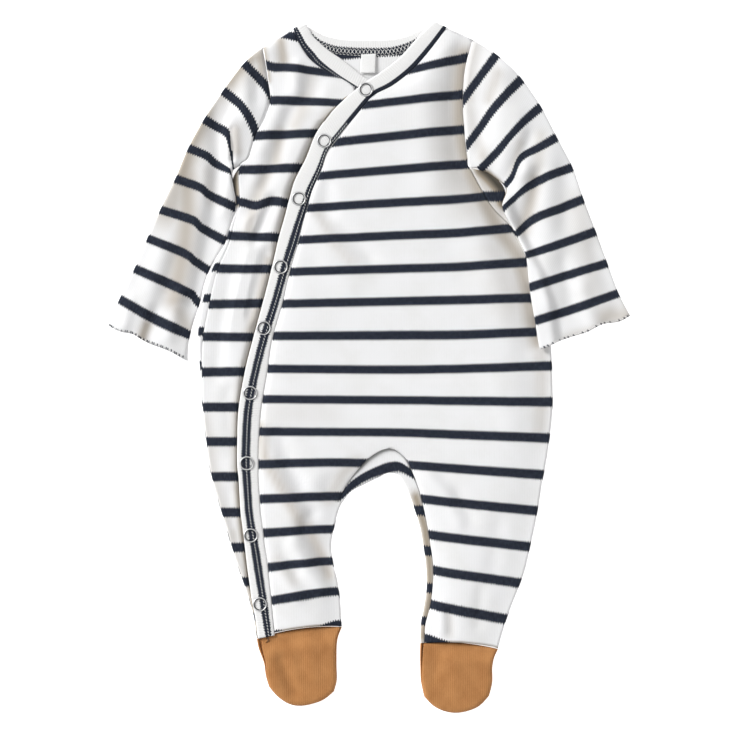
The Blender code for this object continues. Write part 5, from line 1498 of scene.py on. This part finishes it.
def satin():
    material, shader, strand = material_of("label_satin_weave", 0.5, sheen=0.1)
    weave = speckled(strand, 1400.0, 2.0)
    join(strand, shader, weave.smooth(0.2, 0.6).dye(SATIN_SHADE, SATIN_WHITE), weave, 0.05, 0.4)
    return material


def make_label():
    a, b, c, d = (np.array(corner) for corner in LABEL_CORNERS)
    rows = []
    for v in np.linspace(0, 1, LABEL_GRID):
        row = straight(a + (d - a) * v, b + (c - b) * v, LABEL_GRID)
        curl = 1.9 + 0.5 * v ** 2 + 0.35 * v * np.cos(np.linspace(-2.2, 1.6, LABEL_GRID))
        rows.append(np.column_stack((row, curl + LABEL_CLOTH)))
    mesh = bmesh.new()
    lay(mesh, np.array(rows), np.zeros((LABEL_GRID, LABEL_GRID, 3)))
    return sew("bare_label", mesh, LABEL_CLOTH, satin(), "neck_label")


label = make_label()

# ---------------------------------------------------------------------------- sewing
# White and navy thread is worked over the bands' seams, round the cuffs' hems and along the back
# neck.  Each stitch is one drawn-out bead, and the stitches of a seam are one piece.

WHITE_THREAD = (0.90, 0.895, 0.88, 1.0)
WHITE_FADED = (0.78, 0.775, 0.76, 1.0)
NAVY_THREAD = (0.018, 0.022, 0.036, 1.0)
NAVY_FADED = (0.045, 0.053, 0.075, 1.0)
CUFF_PITCH = 1.45         # from one loop of a cuff's hem to the next
LOOP_LENGTH = 2.3
LOOP_WIDTH = 0.46
PICK = 0.618              # step that scatters the navy loops among the white ones


def thread_of(name, colour, faded):
    material, shader, strand = material_of(name, 0.8, sheen=0.1)
    twist = speckled(strand, 2500.0, 1.0)
    join(strand, shader, twist.smooth(0.3, 0.7).dye(faded, colour), twist, 0.08, 0.5)
    return material


WHITE_SEWING = thread_of("white_thread", WHITE_THREAD, WHITE_FADED)
NAVY_SEWING = thread_of("navy_thread", NAVY_THREAD, NAVY_FADED)


def spaced(line, pitch, start=0.5):
    """Spots one pitch apart along a line of points, and the line's direction at each."""
    line = np.array(line)
    travel = np.append(0, np.cumsum(np.linalg.norm(np.diff(line, axis=0), axis=1)))
    marks = np.arange(pitch * start, travel[-1], pitch)
    spots, ahead, behind = (np.column_stack([np.interp(marks + step, travel, axis) for axis in line.T])
                            for step in (0.0, 0.4, -0.4))
    run = ahead - behind
    return spots, np.arctan2(run[:, 1], run[:, 0])


BEAD = bpy.data.meshes.new("bead")


def stitch(mesh, spots, angles, length, width):
    """Lay one bead at each spot, drawn out along its angle; width is half of the thread's."""
    for spot, angle in zip(spots, angles):
        place = Matrix.Translation(Vector(spot) * MM) @ Matrix.Rotation(angle, 4, "Z")
        size = Matrix.Diagonal((length / 2 * MM, width * MM, width * 0.8 * MM, 1.0))
        bead = bmesh.new()
        bmesh.ops.create_uvsphere(bead, u_segments=6, v_segments=4, radius=1.0, matrix=place @ size)
        bead.to_mesh(BEAD)
        bead.free()
        mesh.from_mesh(BEAD)


def stitch_along(mesh, line, pitch, tilt, length, width, start=0.5, lift=0.0):
    """Stitch along a line of points, each stitch turned from it by the tilt."""
    spots, angles = spaced(line, pitch, start)
    stitch(mesh, spots + (0.0, 0.0, lift), angles + tilt, length, width)


def band_line(table, places, crown, halves=0.0, shift=0.0):
    """A line on a band's surface, this many half-widths of its navy strip and this far from its middle."""
    line = []
    for place in places:
        row = through(table, place)
        width = np.linalg.norm(row[2:4] - row[0:2])
        share = row[5] + (row[6] * halves + shift) / width
        line.append((*(row[0:2] + (row[2:4] - row[0:2]) * share), band_top(row, share, width, crown)))
    return line


def sew_lapped_band():
    mesh = bmesh.new()
    low, high = BAND_PLACES[BAND_PLACES > 5.5], BAND_PLACES[BAND_PLACES <= 5.7]
    for halves, pitch, tilt, length in ((0.10, 2.35, 0.5, 2.1), (-0.92, 2.3, 1.3, 1.2),
                                        (0.98, 2.3, -1.2, 1.2)):
        stitch_along(mesh, band_line(OVER_BAND, low, BAND_CROWN, halves), pitch, tilt, length, 0.3)
    stitch_along(mesh, band_line(OVER_BAND, high, BAND_CROWN, -1.05), 2.0, 0.95, 1.1, 0.24)
    return piece_of("band_stitches", mesh, WHITE_SEWING)


def sew_neck_band():
    mesh = bmesh.new()
    upper, lower = NECK_PLACES[NECK_PLACES < 3.4], NECK_PLACES[NECK_PLACES > 3.2]
    stitch_along(mesh, band_line(RIGHT_NECK, upper, NECK_CROWN, shift=0.2), 2.3, 0.3, 1.3, 0.2)
    stitch_along(mesh, band_line(RIGHT_NECK, lower, NECK_CROWN), 1.8, -0.95, 1.5, 0.2)
    return piece_of("neck_stitches", mesh, WHITE_SEWING)


def sew_back_neck():
    """Crossed loops over the back neck's seam."""
    mesh = bmesh.new()
    places = BACK_NECK_PLACES[(BACK_NECK_PLACES > 1.2) & (BACK_NECK_PLACES < len(BACK_NECK) - 2.2)]
    for lift, tilt in ((0.1, 1.0), (0.3, -1.0)):
        stitch_along(mesh, band_line(BACK_NECK, places, BACK_CROWN), 2.9, tilt, 5.8, 0.25, lift=lift)
    for shift in (-2.7, 2.7):
        line = band_line(BACK_NECK, places, BACK_CROWN, shift=shift)
        stitch_along(mesh, line, 2.9, 0.0, 1.7, 0.3, start=0.0, lift=0.2)
    return piece_of("back_neck_stitches", mesh, WHITE_SEWING)


def sew_cuff(name, table, along, top, cover):
    """Overlocked hem of a cuff: loops of thread over its edge, this share of them navy."""
    shares = np.linspace(0.02, 0.98, 60)
    outer, inner = np.array(table[-1][0:2]), np.array(table[-1][2:4])
    along = unit(np.array(along))
    line = outer + (inner - outer) * shares[:, None]
    line = line + along * (CUFF_WAVE * wave_of(shares, 0.0))[:, None] - along * 0.8
    line = np.column_stack((line, top(line) + CUFF_RISE * wave_of(shares, WAVE_LAG)))
    spots, _ = spaced(line, CUFF_PITCH)
    drawn = math.atan2(along[1], along[0]) + 0.25
    navy = np.arange(len(spots)) * PICK % 1.0 < cover
    for kind, material, chosen in (("navy", NAVY_SEWING, navy), ("white", WHITE_SEWING, ~navy)):
        mesh = bmesh.new()
        stitch(mesh, spots[chosen], np.full(chosen.sum(), drawn), LOOP_LENGTH, LOOP_WIDTH)
        piece_of(f"{name}_{kind}_hem", mesh, material)


sew_lapped_band()
sew_neck_band()
sew_back_neck()
sew_cuff("right_cuff", RIGHT_SLEEVE, RIGHT_ARM, right_sleeve_top, 0.62)
sew_cuff("left_cuff", LEFT_SLEEVE, LEFT_ARM, left_sleeve_top, 0.3)

# ---------------------------------------------------------------------------- floor and light
# A white sweep, lit from the upper left by a broad soft lamp, seen from straight above.

FLOOR_DEPTH = 0.3         # millimetres under the garment, so that the two don't meet
FLOOR_SIZE = 3.0          # metres
FLOOR_WHITE = (0.92, 0.92, 0.92, 1.0)
FLOOR_GLOW = 0.80
SKY_LIGHT = 0.39
PURE_WHITE = (1.0, 1.0, 1.0, 1.0)
CAMERA_PLACE = (0.00077, -0.00231, 1.587)     # straight above the middle of the picture
LAMPS = [
    ("key", (-1.20, 0.70, 0.78), 24, 3.15),
    ("fill", (0.9, -0.7, 1.3), 60, 0.35),
]


def add_lamp(name, place, spread, strength):
    """A lamp so far away that it lights the whole garment evenly."""
    light = bpy.data.lights.new(name, "SUN")
    light.angle = math.radians(spread)
    light.energy = strength
    lamp = linked(name, light)
    lamp.location = place
    lamp.rotation_euler = (-Vector(place)).to_track_quat("-Z", "Y").to_euler()


def add_floor():
    sweep = bmesh.new()
    bmesh.ops.create_grid(sweep, x_segments=1, y_segments=1, size=FLOOR_SIZE)
    bmesh.ops.translate(sweep, verts=sweep.verts, vec=(0.0, 0.0, -FLOOR_DEPTH * MM))
    data = bpy.data.meshes.new("floor")
    sweep.to_mesh(data)
    sweep.free()
    white, shader, _ = material_of("white_floor", 0.95)
    shader.inputs["Base Color"].default_value = FLOOR_WHITE
    shader.inputs["Emission Color"].default_value = PURE_WHITE
    shader.inputs["Emission Strength"].default_value = FLOOR_GLOW
    data.materials.append(white)
    floor = linked("floor", data)


for settings in LAMPS:
    add_lamp(*settings)
add_floor()

world = bpy.data.worlds.new("studio")
world.use_nodes = True
sky = world.node_tree.nodes["Background"].inputs
sky["Color"].default_value = PURE_WHITE
sky["Strength"].default_value = SKY_LIGHT
bpy.context.scene.world = world
bpy.context.scene.view_settings.view_transform = "Standard"

lens = bpy.data.cameras.new("camera")
lens.lens = 100.0
lens.sensor_width = 36.0
camera = linked("camera", lens)
camera.location = CAMERA_PLACE
bpy.context.scene.camera = camera
